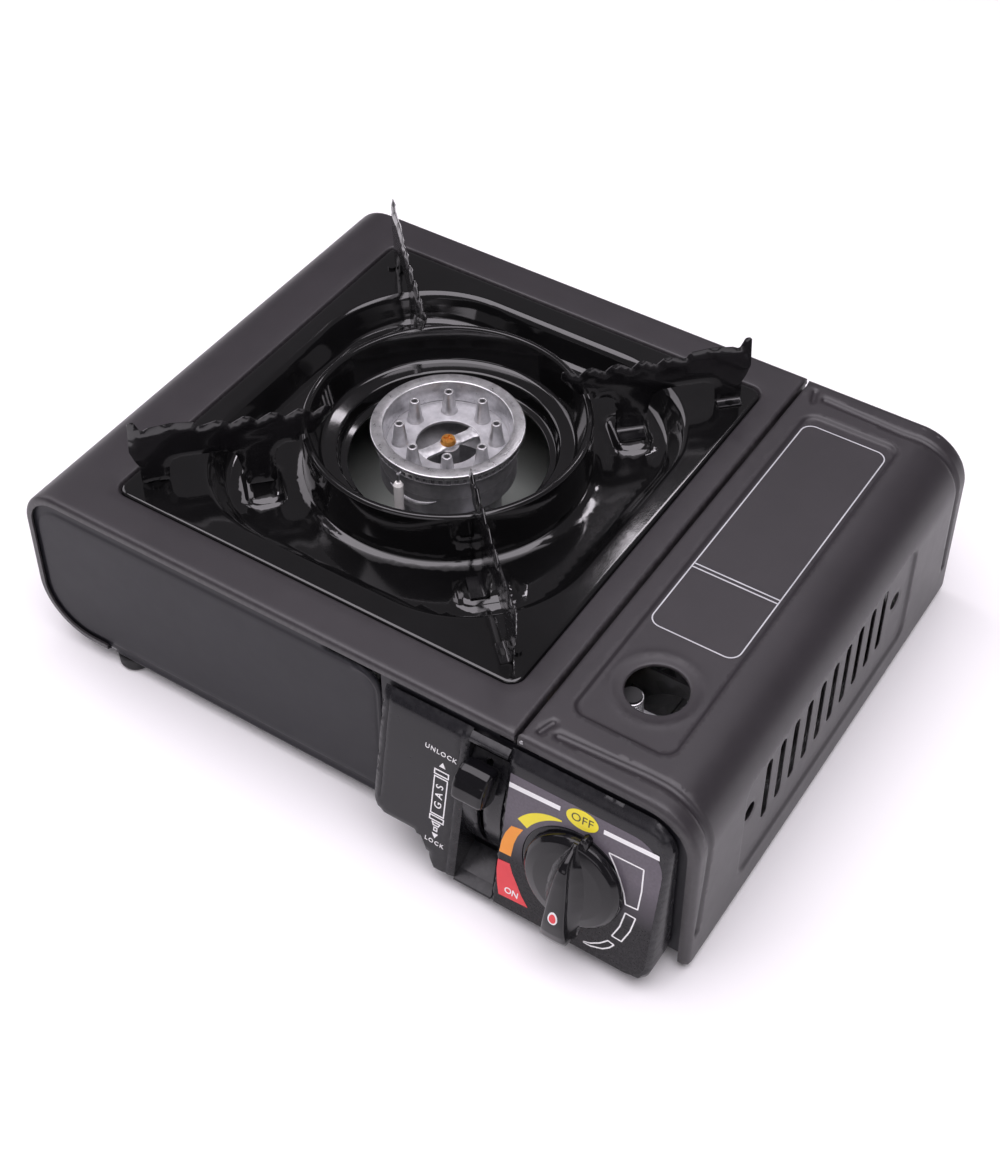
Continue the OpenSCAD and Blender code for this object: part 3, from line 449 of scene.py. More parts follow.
def triangulate(outer, holes, rings, step, keep=0.5):
    loops = [outer] + list(holes) + [r for r in rings]
    pts, edges = [], []
    for lp in loops:
        closed = True
        if isinstance(lp, dict):
            closed, lp = False, lp["line"]
        b = len(pts)
        pts += [tuple(q) for q in lp]
        n = len(lp)
        edges += [(b + i, b + (i + 1) % n) for i in range(n if closed else n - 1)]
    L = np.array(pts)
    lo, hi = np.array(outer).min(0), np.array(outer).max(0)
    gx = np.arange(lo[0] + step * 0.37, hi[0], step)
    gy = np.arange(lo[1] + step * 0.41, hi[1], step * 0.866)
    G = np.array([(x + (step / 2 if k % 2 else 0), y) for k, y in enumerate(gy) for x in gx]).reshape(-1, 2)
    ok = inside(outer, G)
    for h in holes:
        ok &= ~inside(h, G)
    G = G[ok]
    # thin out grid points that lie close to a loop
    cell = {}
    for q in L:
        cell.setdefault((int(q[0] // step), int(q[1] // step)), []).append(q)
    keepers = []
    for g in G:
        cx, cy = int(g[0] // step), int(g[1] // step)
        near = False
        for i in (-1, 0, 1):
            for j in (-1, 0, 1):
                for q in cell.get((cx + i, cy + j), ()):
                    if (q[0] - g[0]) ** 2 + (q[1] - g[1]) ** 2 < (keep * step) ** 2:
                        near = True
                        break
                if near:
                    break
            if near:
                break
        if not near:
            keepers.append(g)
    allp = [Vector((float(a), float(b))) for a, b in list(pts) + [tuple(g) for g in keepers]]
    vs, es, fs, _, _, _ = delaunay_2d_cdt(allp, edges, [], 0, 1e-5)
    V = np.array([(v.x, v.y) for v in vs])
    F = np.array([f for f in fs if len(f) == 3])
    C = V[F].mean(1)
    ok = inside(outer, C)
    for h in holes:
        ok &= ~inside(h, C)
    F = F[ok]
    used = np.unique(F)
    re = -np.ones(len(V), int)
    re[used] = np.arange(len(used))
    return V[used], re[F]


def shell(V, F, fmap, h, thick):
    """closed sheet over a triangulated field: outer face, inner face and the cut edges"""
    n = len(V)
    A = fmap(V[:, 0], V[:, 1], h)
    B = fmap(V[:, 0], V[:, 1], h - thick)
    faces = [tuple(f) for f in F] + [tuple(n + i for i in f[::-1]) for f in F]
    seen = {}
    for f in F:
        for a, b in ((f[0], f[1]), (f[1], f[2]), (f[2], f[0])):
            seen[(a, b)] = True
    for (a, b) in list(seen):
        if (b, a) not in seen:
            faces.append((b, a, n + a, n + b))
    return np.vstack([A, B]), faces


def revolve(prof, n=96, cx=-29.0, cy=0.5, close=True, start=0.0):
    """closed r-z outline turned round the burner's axis"""
    k = len(prof)
    v = []
    for i in range(n):
        a = start + 2 * math.pi * i / n
        for r, z in prof:
            v.append((cx + r * math.cos(a), cy + r * math.sin(a), z))
    f = []
    for i in range(n):
        j = (i + 1) % n
        for q in range(k if close else k - 1):
            w = (q + 1) % k
            f.append((i * k + q, j * k + q, j * k + w, i * k + w))
    return np.array(v), f


def fillet(pts, radii, seg=5, closed=True):
    """rounds the corners of an outline"""
    n = len(pts)
    out = []
    for i in range(n):
        p = np.array(pts[i], float)
        r = radii[i] if isinstance(radii, (list, tuple)) else radii
        if (not closed and i in (0, n - 1)) or r <= 0:
            out.append(tuple(p))
            continue
        a, b = np.array(pts[i - 1], float), np.array(pts[(i + 1) % n], float)
        u, w = a - p, b - p
        lu, lw = np.linalg.norm(u), np.linalg.norm(w)
        u, w = u / lu, w / lw
        ang = math.acos(max(-1, min(1, float(u @ w))))
        if ang > math.pi - 0.02:
            out.append(tuple(p))
            continue
        t = min(r / math.tan(ang / 2), lu * 0.48, lw * 0.48)
        rr_ = t * math.tan(ang / 2)
        bis = (u + w) / np.linalg.norm(u + w)
        c = p + bis * rr_ / math.sin(ang / 2)
        s, e = p + u * t - c, p + w * t - c
        a0, a1 = math.atan2(s[1], s[0]), math.atan2(e[1], e[0])
        d = (a1 - a0 + math.pi) % (2 * math.pi) - math.pi
        for q in range(seg + 1):
            x = a0 + d * q / seg
            out.append((c[0] + rr_ * math.cos(x), c[1] + rr_ * math.sin(x)))
    return out


def prism(name, loops, fmap, lo, hi, mat, body="casing", **kw):
    """closed thin solid from outlines in a plane (first is the outline, the rest are holes)"""
    V, F = triangulate(loops[0], loops[1:], [], 1e4)
    z = np.full(len(V), float(hi))
    A, faces = shell(V, F, fmap, z, hi - lo)
    return make(name, A, faces, mat, body, **kw)


def face(x, s, d):
    """control face: x across, s up the face, d outward"""
    x, s, d = np.broadcast_arrays(np.asarray(x, float), np.asarray(s, float), np.asarray(d, float))
    return np.stack([x, -145.0 + s * SL - d * CL, 6.0 + s * CL + d * SL], -1)


# --------------------------------------------------- wrapped sheet covers
def path_fn(segs):
    """segs: ('l', p, q) or ('a', centre, r, a0, a1), laid end to end; gives point and outward normal by length"""
    parts, L = [], 0.0
    for s in segs:
        if s[0] == 'l':
            ln = math.dist(s[1], s[2])
        else:
            ln = abs(math.radians(s[4] - s[3])) * s[2]
        parts.append((L, L + ln, s))
        L += ln

    def f(u):
        u = np.asarray(u, float)
        x, z, nx, nz = (np.zeros_like(u) for _ in range(4))
        for k, (a, b, s) in enumerate(parts):
            m = (u >= a - (1e9 if k == 0 else 0)) & ((u < b) | (k == len(parts) - 1))
            t = (u[m] - a) / (b - a)
            if s[0] == 'l':
                (x0, z0), (x1, z1) = s[1], s[2]
                x[m], z[m] = x0 + (x1 - x0) * t, z0 + (z1 - z0) * t
                ln = math.dist(s[1], s[2])
                side = s[3]
                nx[m], nz[m] = -(z1 - z0) / ln * side, (x1 - x0) / ln * side
            else:
                (cx, cz), r, a0, a1 = s[1], s[2], math.radians(s[3]), math.radians(s[4])
                an = a0 + (a1 - a0) * t
                x[m], z[m] = cx + r * np.cos(an), cz + r * np.sin(an)
                nx[m], nz[m] = np.cos(an), np.sin(an)
        return x, z, nx, nz
    return f, L, parts


def edge_fn(rad, depth):
    """across the sheet: flat to the bend, the bend, then the turned-in lip"""
    flat = HD - rad
    end = flat + rad * math.pi / 2 + (depth - rad)

    def f(v):
        s, a = np.sign(v), np.abs(v)
        y, d, ny, nd = (np.zeros_like(a) for _ in range(4))
        m = a <= flat
        y[m], d[m], ny[m], nd[m] = a[m], 0, 0, 1
        m2 = (a > flat) & (a <= flat + rad * math.pi / 2)
        t = (a[m2] - flat) / rad
        y[m2], d[m2] = flat + rad * np.sin(t), rad * (1 - np.cos(t))
        ny[m2], nd[m2] = np.sin(t), np.cos(t)
        m3 = a > flat + rad * math.pi / 2
        y[m3], d[m3], ny[m3], nd[m3] = HD, rad + a[m3] - flat - rad * math.pi / 2, 1, 0
        return y * s, d, ny * s, nd
    return f, end, flat


def wrap_map(pf, ef):
    def g(u, v, h):
        x, z, nx, nz = pf(u)
        y, d, ny, nd = ef(v)
        k = -d + h * nd
        return np.stack([x + nx * k, y + ny * h, z + nz * k], -1)
    return g


def vlines(u0, u1, vals, step):
    n = max(2, int((u1 - u0) / step))
    return [{"line": [(u0 + (u1 - u0) * i / n, v) for i in range(n + 1)]} for v in vals]


def ulines(v0, v1, vals, step):
    n = max(2, int((v1 - v0) / step))
    return [{"line": [(u, v0 + (v1 - v0) * i / n) for i in range(n + 1)]} for u in vals]


def main_cover():
    segs = [('l', (87.1, 94), (-150, 94), -1), ('a', (-150, 74), 20, 90, 180), ('l', (-170, 74), (-170, 36), -1),
            ('a', (-142, 36), 28, 180, 270), ('l', (-142, 8), (-133, 8), -1)]
    pf, L, parts = path_fn(segs)
    ef, end, flat = edge_fn(2.2, 4.0)
    g = wrap_map(pf, ef)
    outer = resample([(0, -end), (L, -end), (L, end), (0, end)], 3.0)
    U = lambda x: 87.1 - x
    tray = rr(U(-29), 0.5, 208.2, 213.2, 6.6, 2.5)
    bends = [flat + 2.2 * math.pi / 2 * i / 4 for i in range(5)] + [flat - 1.5]
    rings = vlines(0.9, L - 0.9, [s * b for b in bends for s in (-1, 1)], 3.0)
    rings += ulines(-flat + 2, flat - 2, [0.9, 1.8], 3.0)
    a0, a1 = parts[1][0], parts[1][1]
    b0, b1 = parts[3][0], parts[3][1]
    rings += ulines(-flat + 2.2, flat - 2.2, list(np.linspace(a0, a1, 15)) + list(np.linspace(b0, b1, 17)), 5.0)
    # rolled edge round the tray
    rings += [rr(U(-29), 0.5, 208.2 + 2 * o, 213.2 + 2 * o, 6.6 + o, 2.5) for o in (0.35, 0.8, 1.3)]
    V, F = triangulate(outer, [tray], rings, 6.0)
    u, v = V[:, 0], V[:, 1]
    dt = -sd_rr(u, v, U(-29), 0.5, 208.2, 213.2, 6.6)
    h = -roll(dt, 1.3) * (dt < 1.3) - roll(u, 0.9) * (np.abs(v) < flat)
    A, f = shell(V, F, g, h, 1.0)
    make("main_cover_skin", A, f, M["cover"], "casing", "main_cover", "satin_cover", angle=50)
    # shelf under the tray rim and the flange at the seam
    flat_map = lambda x, y, z: np.stack([x, y, z], -1)
    o, i = rr(-29, 0.5, 211.6, 216.6, 8.0, 3), rr(-29, 0.5, 199, 204, 12, 3)
    V, F = triangulate(o, [i, ], [rr(-29, 0.5, 208.6, 213.6, 6.8, 3), rr(-29, 0.5, 207, 212, 6.2, 3)], 8)
    d = -sd_rr(V[:, 0], V[:, 1], -29, 0.5, 208.0, 213.0, 6.6)
    A, f = shell(V, F, flat_map, 91.4 + 1.4 * ss(-0.4, 0.5, d), 0.9)
    make("main_cover_shelf", A, f, M["cover"], "casing", None, "satin_cover")
    v = []
    prof = fillet([(86.15, 93.0), (87.05, 93.0), (87.05, 87.2), (86.15, 87.2)], 0.3, 3)
    for y in (-125.0, 125.0):
        v += [(x, y, z) for x, z in prof]
    k = len(prof)
    f = [tuple(range(k)), tuple(range(2 * k - 1, k - 1, -1))] + [(i, (i + 1) % k, k + (i + 1) % k, k + i) for i in range(k)]
    make("main_cover_flange", v, f, M["cover"], "casing", None, "satin_cover")


def capsule(pts, r, n=8):
    """outline of a rounded groove along a line"""
    P = [np.array(p, float) for p in pts]
    L, R = [], []
    for i, p in enumerate(P):
        d = P[min(i + 1, len(P) - 1)] - P[max(i - 1, 0)]
        d = d / np.linalg.norm(d)
        m = np.array([-d[1], d[0]])
        L.append(tuple(p + m * r))
        R.append(tuple(p - m * r))

    def cap(c, d):
        a = math.atan2(d[1], d[0]) + math.pi / 2
        return [(c[0] + r * math.cos(a - math.pi * k / n), c[1] + r * math.sin(a - math.pi * k / n)) for k in range(1, n)]
    return resample(L + cap(P[-1], P[-1] - P[-2]) + R[::-1] + cap(P[0], P[0] - P[1]), 1.6)


def gas_cover():
    segs = [('l', (88.6, 94), (146, 94), 1), ('a', (146, 70), 24, 90, 0), ('l', (170, 70), (170, 4), 1)]
    pf, L, parts = path_fn(segs)
    ef, end, flat = edge_fn(2.8, 5.0)
    g = wrap_map(pf, ef)
    U = lambda x: x - 88.6
    ZU = lambda z: parts[2][0] + 70 - z
    outer = resample([(0, -end), (L, -end), (L, end), (0, end)], 2.5)
    sight = circ(U(121.4), -74.8, 13, 72)
    SY = [-64.8 + i * 108.6 / 9 for i in range(10)]
    slots = [rr(ZU(51.4), y, 35.5, 5.1, 2.54, 0.9) for y in SY]
    DOT = ((-79.6, 52.6), (57.6, 51.6))
    dots = [circ(ZU(z), y, 4.3, 30) for y, z in DOT]
    bends = [flat + 2.8 * math.pi / 2 * i / 5 for i in range(6)] + [flat - 1.5]
    rings = vlines(1.4, L - 0.6, [s * b for b in bends for s in (-1, 1)], 2.5)
    rings += ulines(-flat + 2, flat - 2, [0.5, 1.0, 1.5], 2.5)
    rings += [circ(U(121.4), -74.8, r, 72) for r in (13.3, 13.8, 14.8, 16.5, 18.5, 20.5)]
    rings += [rr(ZU(51.4), y, 35.5 + 2 * o, 5.1 + 2 * o, 2.54 + o, 1.1) for y in SY for o in (0.3, 0.8)]
    rings += [circ(ZU(z), y, r, 30) for y, z in DOT for r in (4.6, 5.2, 5.9)]
    # edges of the sunk fields
    rings += [rr(U(121), 0.5, 45 - 2 * o, 208 - 2 * o, 6 - o, 1.8) for o in (-0.9, -0.3, 0.3, 0.9)]
    rings += [rr(ZU(45.2), -6.5, 55.5 - 2 * o, 159 - 2 * o, 6 - o, 1.8) for o in (-0.8, -0.2, 0.4, 1.0)]
    front = [(U(102), -117.3), (U(140), -115.4), (U(150), -115.6), (ZU(60), -117.5), (ZU(22), -121.2)]
    rear = [(U(101), 116.6), (U(140), 114.6), (U(150), 115.2), (ZU(60), 116.2), (ZU(22), 117.4)]
    short = [[(U(94.6), s * 119.3), (U(96.6), s * 113.0)] for s in (-1, 1)]
    for ln in (front, rear):
        rings += [capsule(ln, r) for r in (0.8, 1.5, 2.2)]
    for ln in short:
        rings += [capsule(ln, r, 6) for r in (0.6, 1.2, 1.8)]
    V, F = triangulate(outer, [sight] + slots + dots, rings, 1.9, keep=0.42)
    u, v = V[:, 0], V[:, 1]
    h = np.zeros(len(u))
    h -= 1.5 * ss(-1.0, 1.0, sd_rr(u, v, U(121), 0.5, 45, 208, 6))
    rh = np.hypot(u - U(121.4), v + 74.8)
    h += 0.25 * np.exp(-((rh - 19.0) / 1.5) ** 2)
    h -= 0.5 * (1 - ss(13.8, 18.5, rh))
    h -= roll(np.maximum(rh - 13, 0), 0.8) * (rh < 13.8)
    for ln in (front, rear):
        h -= 1.35 * (1 - ss(0.8, 2.3, sd_line(u, v, ln)))
    for ln in short:
        h -= 1.2 * (1 - ss(0.6, 1.9, sd_line(u, v, ln)))
    # sunk field of the side
    h -= 1.15 * ss(-0.8, 1.0, sd_rr(u, v, ZU(45.2), -6.5, 55.5, 159, 6))
    for y in SY:
        d = -sd_rr(u, v, ZU(51.4), y, 35.5, 5.1, 2.54)
        h -= 0.12 * (1 - ss(0.0, 0.8, d))
    for y, z in DOT:
        d = np.hypot(u - ZU(z), v - y) - 4.3
        h -= 0.3 * (1 - ss(0.0, 1.7, d))
    h -= roll(u, 1.5) * (np.abs(v) <= flat) * (u < 1.5)
    # soft crown, so the long faces aren't dead flat
    h -= 0.18 * (v / HD) ** 2
    h = np.minimum(h, 0)
    A, f = shell(V, F, g, h, 0.45)
    make("gas_cover_skin", A, f, M["cover"], "gas_cover_body", "gas_cover", "satin_cover", angle=50)

    # printed frame on the sunk field: outline and double rule
    def top(x, y, d):
        x, y, d = np.broadcast_arrays(np.asarray(x, float), np.asarray(y, float), np.asarray(d, float))
        return np.stack([x, y, 94.0 - 1.5 - 0.18 * (y / HD) ** 2 + d], -1)

    def band(nm, o, i):
        prism(nm, [o, i], top, -0.15, 0.10, M["label"], "gas_cover_body", slot="printed_plate")
    band("label_frame", rr(120.5, 26.5, 41, 145, 5.5, 1.5), rr(120.5, 26.5, 39.9, 143.9, 5.0, 1.5))
    for k, y in enumerate((-8.4, -6.2)):
        prism("label_rule_%d" % (k + 1), [resample([(100.4, y - 0.3), (140.6, y - 0.3), (140.6, y + 0.3), (100.4, y + 0.3)], 4)], top, -0.15, 0.10, M["label"], "gas_cover_body", slot="printed_plate")


# ------------------------------------------------------------------- tray
def drip_tray():
    cx, cy = -29.0, 0.5
    rim = fillet_rr(cx, cy, 207, 212, 6.0, 1.6)
    well_r = 58.0
    flat_map = lambda x, y, z: np.stack([x, y, z], -1)
    wz = 93.6
    floor = 81.5
    ring = circ(cx, cy, 65.2, 120)
    rings = [rr(cx, cy, 207 - 2 * o, 212 - 2 * o, max(0.6, 6.0 - o), 2.5) for o in (0.3, 0.8, 1.5, 2.4)]
    rings += [rr(cx, cy, 187 - 2 * o, 188 - 2 * o, 58.0 - o, 2.2) for o in (-1.6, -0.8, 0.0, 1.2, 2.6, 4.2, 5.8, 7.4, 8.8, 10.0)]
    rings += [circ(cx, cy, r, 120) for r in (65.7, 66.5, 67.6)]
    pads = []
    for a in (45, 135, 225, 315):
        ca, sa = math.cos(math.radians(a)), math.sin(math.radians(a))
        for o in (0, 1.2, 2.4):
            lp = rr(84, 0, 18.5 - 2 * o, 28 - 2 * o, 7 - o, 1.6)
            rings.append([(cx + x * ca - y * sa, cy + x * sa + y * ca) for x, y in lp])
    V, F = triangulate(rim, [ring], rings, 3.2, keep=0.4)
    u, v = V[:, 0], V[:, 1]
    dw = sd_rr(u, v, cx, cy, 187, 188, 58)
    h = np.full(len(u), wz)
    h -= (wz - floor) * ss(-1.0, 10.0, dw)
    dr = sd_rr(u, v, cx, cy, 207, 212, 6.0)
    h -= roll(dr, 1.4) * (dr < 1.4)
    h += 0.45 * (1 - ss(1.4, 4.0, dr)) * ss(0.0, 1.4, dr) * 0
    rad = np.hypot(u - cx, v - cy)
    h += 1.3 * (1 - ss(65.2, 69.0, rad))
    for a in (45, 135, 225, 315):
        ca, sa = math.cos(math.radians(a)), math.sin(math.radians(a))
        x, y = (u - cx) * ca + (v - cy) * sa, -(u - cx) * sa + (v - cy) * ca
        h += 2.4 * ss(0.0, 2.6, sd_rr(x, y, 84, 0, 18.5, 28, 7)) * ss(2, 6, dw)
    A, f = shell(V, F, flat_map, h, 0.9)
    make("drip_tray_pan", A, f, M["enamel"], "tray_body", "drip_tray", "enamel", angle=60)
    prof = fillet([(45.5, 82.9), (49.9, 83.7), (50.9, 89.9), (58.1, 90.9), (62.7, 105.6), (63.6, 105.6), (64.3, 81.2), (65.5, 81.2),
                   (65.0, 107.0), (63.9, 108.0), (62.4, 108.0), (61.5, 107.0), (57.3, 92.0), (49.9, 91.0), (48.9, 84.8), (45.5, 84.1)],
                  [0.3, 0.9, 1.6, 2.4, 0.4, 0.4, 0.3, 0.3, 1.4, 0.8, 0.8, 1.2, 2.6, 1.6, 1.2, 0.4], 5)
    A, f = revolve(prof, 144)
    make("drip_tray_ring", A, f, M["enamel"], "tray_body", None, "enamel", angle=60)


def fillet_rr(cx, cy, w, h, r, step):
    return rr(cx, cy, w, h, r, step)


TIPS = [(139, 36.5), (138, 37.5), (136, 37.5), (134.6, 34), (133.5, 31.4), (130.5, 33), (121, 34.2), (111, 33.2),
        (108.5, 30), (104.5, 31), (101, 32), (98.5, 31.6), (95.3, 28.6), (92, 30.6), (89.2, 32.3), (86.6, 31.6), (83.6, 28.4),
        (80.5, 30.6), (77.4, 32.4), (74.5, 31.6), (71.4, 28.5), (68.2, 30.6), (65.4, 32.3), (62.6, 31.5), (59.4, 28.2),
        (56.6, 30.4), (53.6, 32.3), (51.6, 31.4), (51.4, 27.5)]


def pan_supports():
    k = 35 / 37.5
    up = lambda z: TOP + z * k
    pts = [(139.8, up(20))] + [(r, up(z)) for r, z in TIPS]
    pts += [(60, TOP + 15.2), (66, TOP + 15.2), (66.4, up(12.4)), (72.5, up(12.6)), (76, up(10)), (77.4, up(4)), (77.4, 84.1), (90.8, 84.1),
            (93, up(4)), (94.5, up(10)), (98, up(12.4)), (110, up(13)), (118, up(13)), (122, up(11.5)), (123.5, up(8)),
            (124, 93.75), (136.2, 93.75), (136.2, up(10)), (138, up(14))]
    lp = fillet(pts, 1.4, 4)
    # drop points that nearly coincide
    out = [lp[0]]
    for q in lp[1:]:
        if math.dist(q, out[-1]) > 0.15:
            out.append(q)
    lp = resample(out, 1.8)
    V, F = triangulate(lp, [], [], 2.4, keep=0.5)
    sd = sd_poly(lp, V)
    n = len(V)
    t = 1.1
    r, z = V[:, 0], V[:, 1]
    bulge = t - roll(np.maximum(sd, 0), 0.95)
    # pressed ribs along the arm and down the legs, so the flanks aren't flat
    rib = np.exp(-((z - TOP - 19.5 * k - 1.6 * np.sin(r / 9.0)) / 2.2) ** 2) * ss(62, 70, r) * (1 - ss(118, 130, r))
    rib = rib + 0.8 * np.exp(-((r - 84.1) / 2.4) ** 2) * (1 - ss(TOP + 8, TOP + 14, z))
    side = 0.22 * rib * ss(0.8, 2.5, sd)

    def tab(r0, r1, zb, th, R, reach):
        """flange bent out from a leg's lower end"""
        c = -1.1 - R + th
        cz = zb + R
        o = [(1.0, cz + 2.5), (c + R, cz)] + [(c + R * math.cos(a), cz + R * math.sin(a)) for a in np.linspace(0, -math.pi / 2, 8)]
        o += [(-reach + 0.3, zb), (-reach, zb + th * 0.5), (-reach + 0.3, zb + th)]
        q = R - th
        o += [(c + q * math.cos(a), cz + q * math.sin(a)) for a in np.linspace(-math.pi / 2, 0, 8)] + [(c + q, cz + 2.5)]
        clean = [o[0]]
        for p in o[1:]:
            if math.dist(p, clean[-1]) > 0.03:
                clean.append(p)
        return r0, r1, clean

    tabs = [tab(77.9, 90.3, 84.0, 1.5, 3.4, 8.2), tab(124.6, 135.6, 93.75, 0.9, 2.2, 5.2)]
    for name, body_a in (("front_left", 225), ("front_right", 315), ("rear_left", 135), ("rear_right", 45)):
        ca, sa = math.cos(math.radians(body_a)), math.sin(math.radians(body_a))

        def put(r, y, z):
            r, y, z = np.broadcast_arrays(np.asarray(r, float), np.asarray(y, float), np.asarray(z, float))
            return np.stack([-29 + r * ca - y * sa, 0.5 + r * sa + y * ca, z], -1)
        A = put(V[:, 0], bulge - side, V[:, 1])
        B = put(V[:, 0], -bulge - side, V[:, 1])
        faces = [tuple(f) for f in F] + [tuple(n + i for i in f[::-1]) for f in F]
        seen = {(f[i], f[(i + 1) % 3]) for f in F for i in range(3)}
        for (a, b) in seen:
            if (b, a) not in seen:
                faces.append((b, a, n + a, n + b))
        make("pan_support_%s_blade" % name, np.vstack([A, B]), faces, M["blade"], "tray_body", "pan_support_" + name, "enamel", angle=40)
        for q, (r0, r1, o) in enumerate(tabs):
            m = len(o)
            v = []
            rows = ((r0, 0.8), (r0 + 0.25, 0.95), (r0 + 0.7, 1.0), (r1 - 0.7, 1.0), (r1 - 0.25, 0.95), (r1, 0.8))
            cy_ = np.mean([p[0] for p in o])
            for rad, sc in rows:
                for (y, z_) in o:
                    w = 1.0 if sc == 1.0 else sc
                    edge = (1 - w) * 1.0
                    v.append(tuple(put(rad, y + (edge if y < -2.5 else 0.0), z_)))
            f = []
            for i in range(len(rows) - 1):
                for j in range(m):
                    w = (j + 1) % m
                    f.append((i * m + j, i * m + w, (i + 1) * m + w, (i + 1) * m + j))
            f.append(tuple(range(m - 1, -1, -1)))
            f.append(tuple((len(rows) - 1) * m + j for j in range(m)))
            make("pan_support_%s_tab_%d" % (name, q + 1), v, f, M["blade"], "tray_body", None, "enamel", angle=50)


# ------------------------------------------------------------ front fascia
def face_profile_fn():
    """y of the moulding's front by height"""
    t = math.tan(LEAN)
    pts = [(6.0, -143.2), (7.0, -144.5), (8.6, -145 + 2.6 * t), (79.5, -145 + 73.5 * t), (81.4, -145 + 75.8 * t), (83.2, -145 + 79.2 * t), (84.4, -128.9), (86.5, -126.6)]
    f = fillet(pts, 1.2, 4, closed=False)
    z = np.array([p[0] for p in f])
    y = np.array([p[1] for p in f])
    return lambda q: np.interp(q, z, y)


PY = face_profile_fn()


def moulding(name, outline, mat, rings=(), hfun=None, edge=1.8, step=2.2, node=None, holes=()):
    """closed moulded shell: front field with rounded edges, and side walls back to the casing"""
    o = resample(outline, 1.6)
    V, F = triangulate(o, list(holes), list(rings), step, keep=0.45)
    sd = sd_poly(o, V)
    top = ss(86.5, 83.5, V[:, 1])
    d = roll(np.maximum(sd, 0), edge) * (sd < edge) * top
    if hfun is not None:
        d = d + hfun(V[:, 0], V[:, 1])
    n = len(V)
    A = np.stack([V[:, 0], PY(V[:, 1]) + d, V[:, 1]], -1)
    B = A.copy()
    B[:, 1] = -126.45
    bnd = np.zeros(n, bool)
    seen = {(f[i], f[(i + 1) % 3]) for f in F for i in range(3)}
    faces = [tuple(f) for f in F]
    for f in F:
        faces.append(tuple(n + i for i in f[::-1]))
    for (a, b) in seen:
        if (b, a) not in seen:
            faces.append((b, a, n + a, n + b))
    make(name, np.vstack([A, B]), faces, mat, "casing", node, "black_moulding", angle=42)


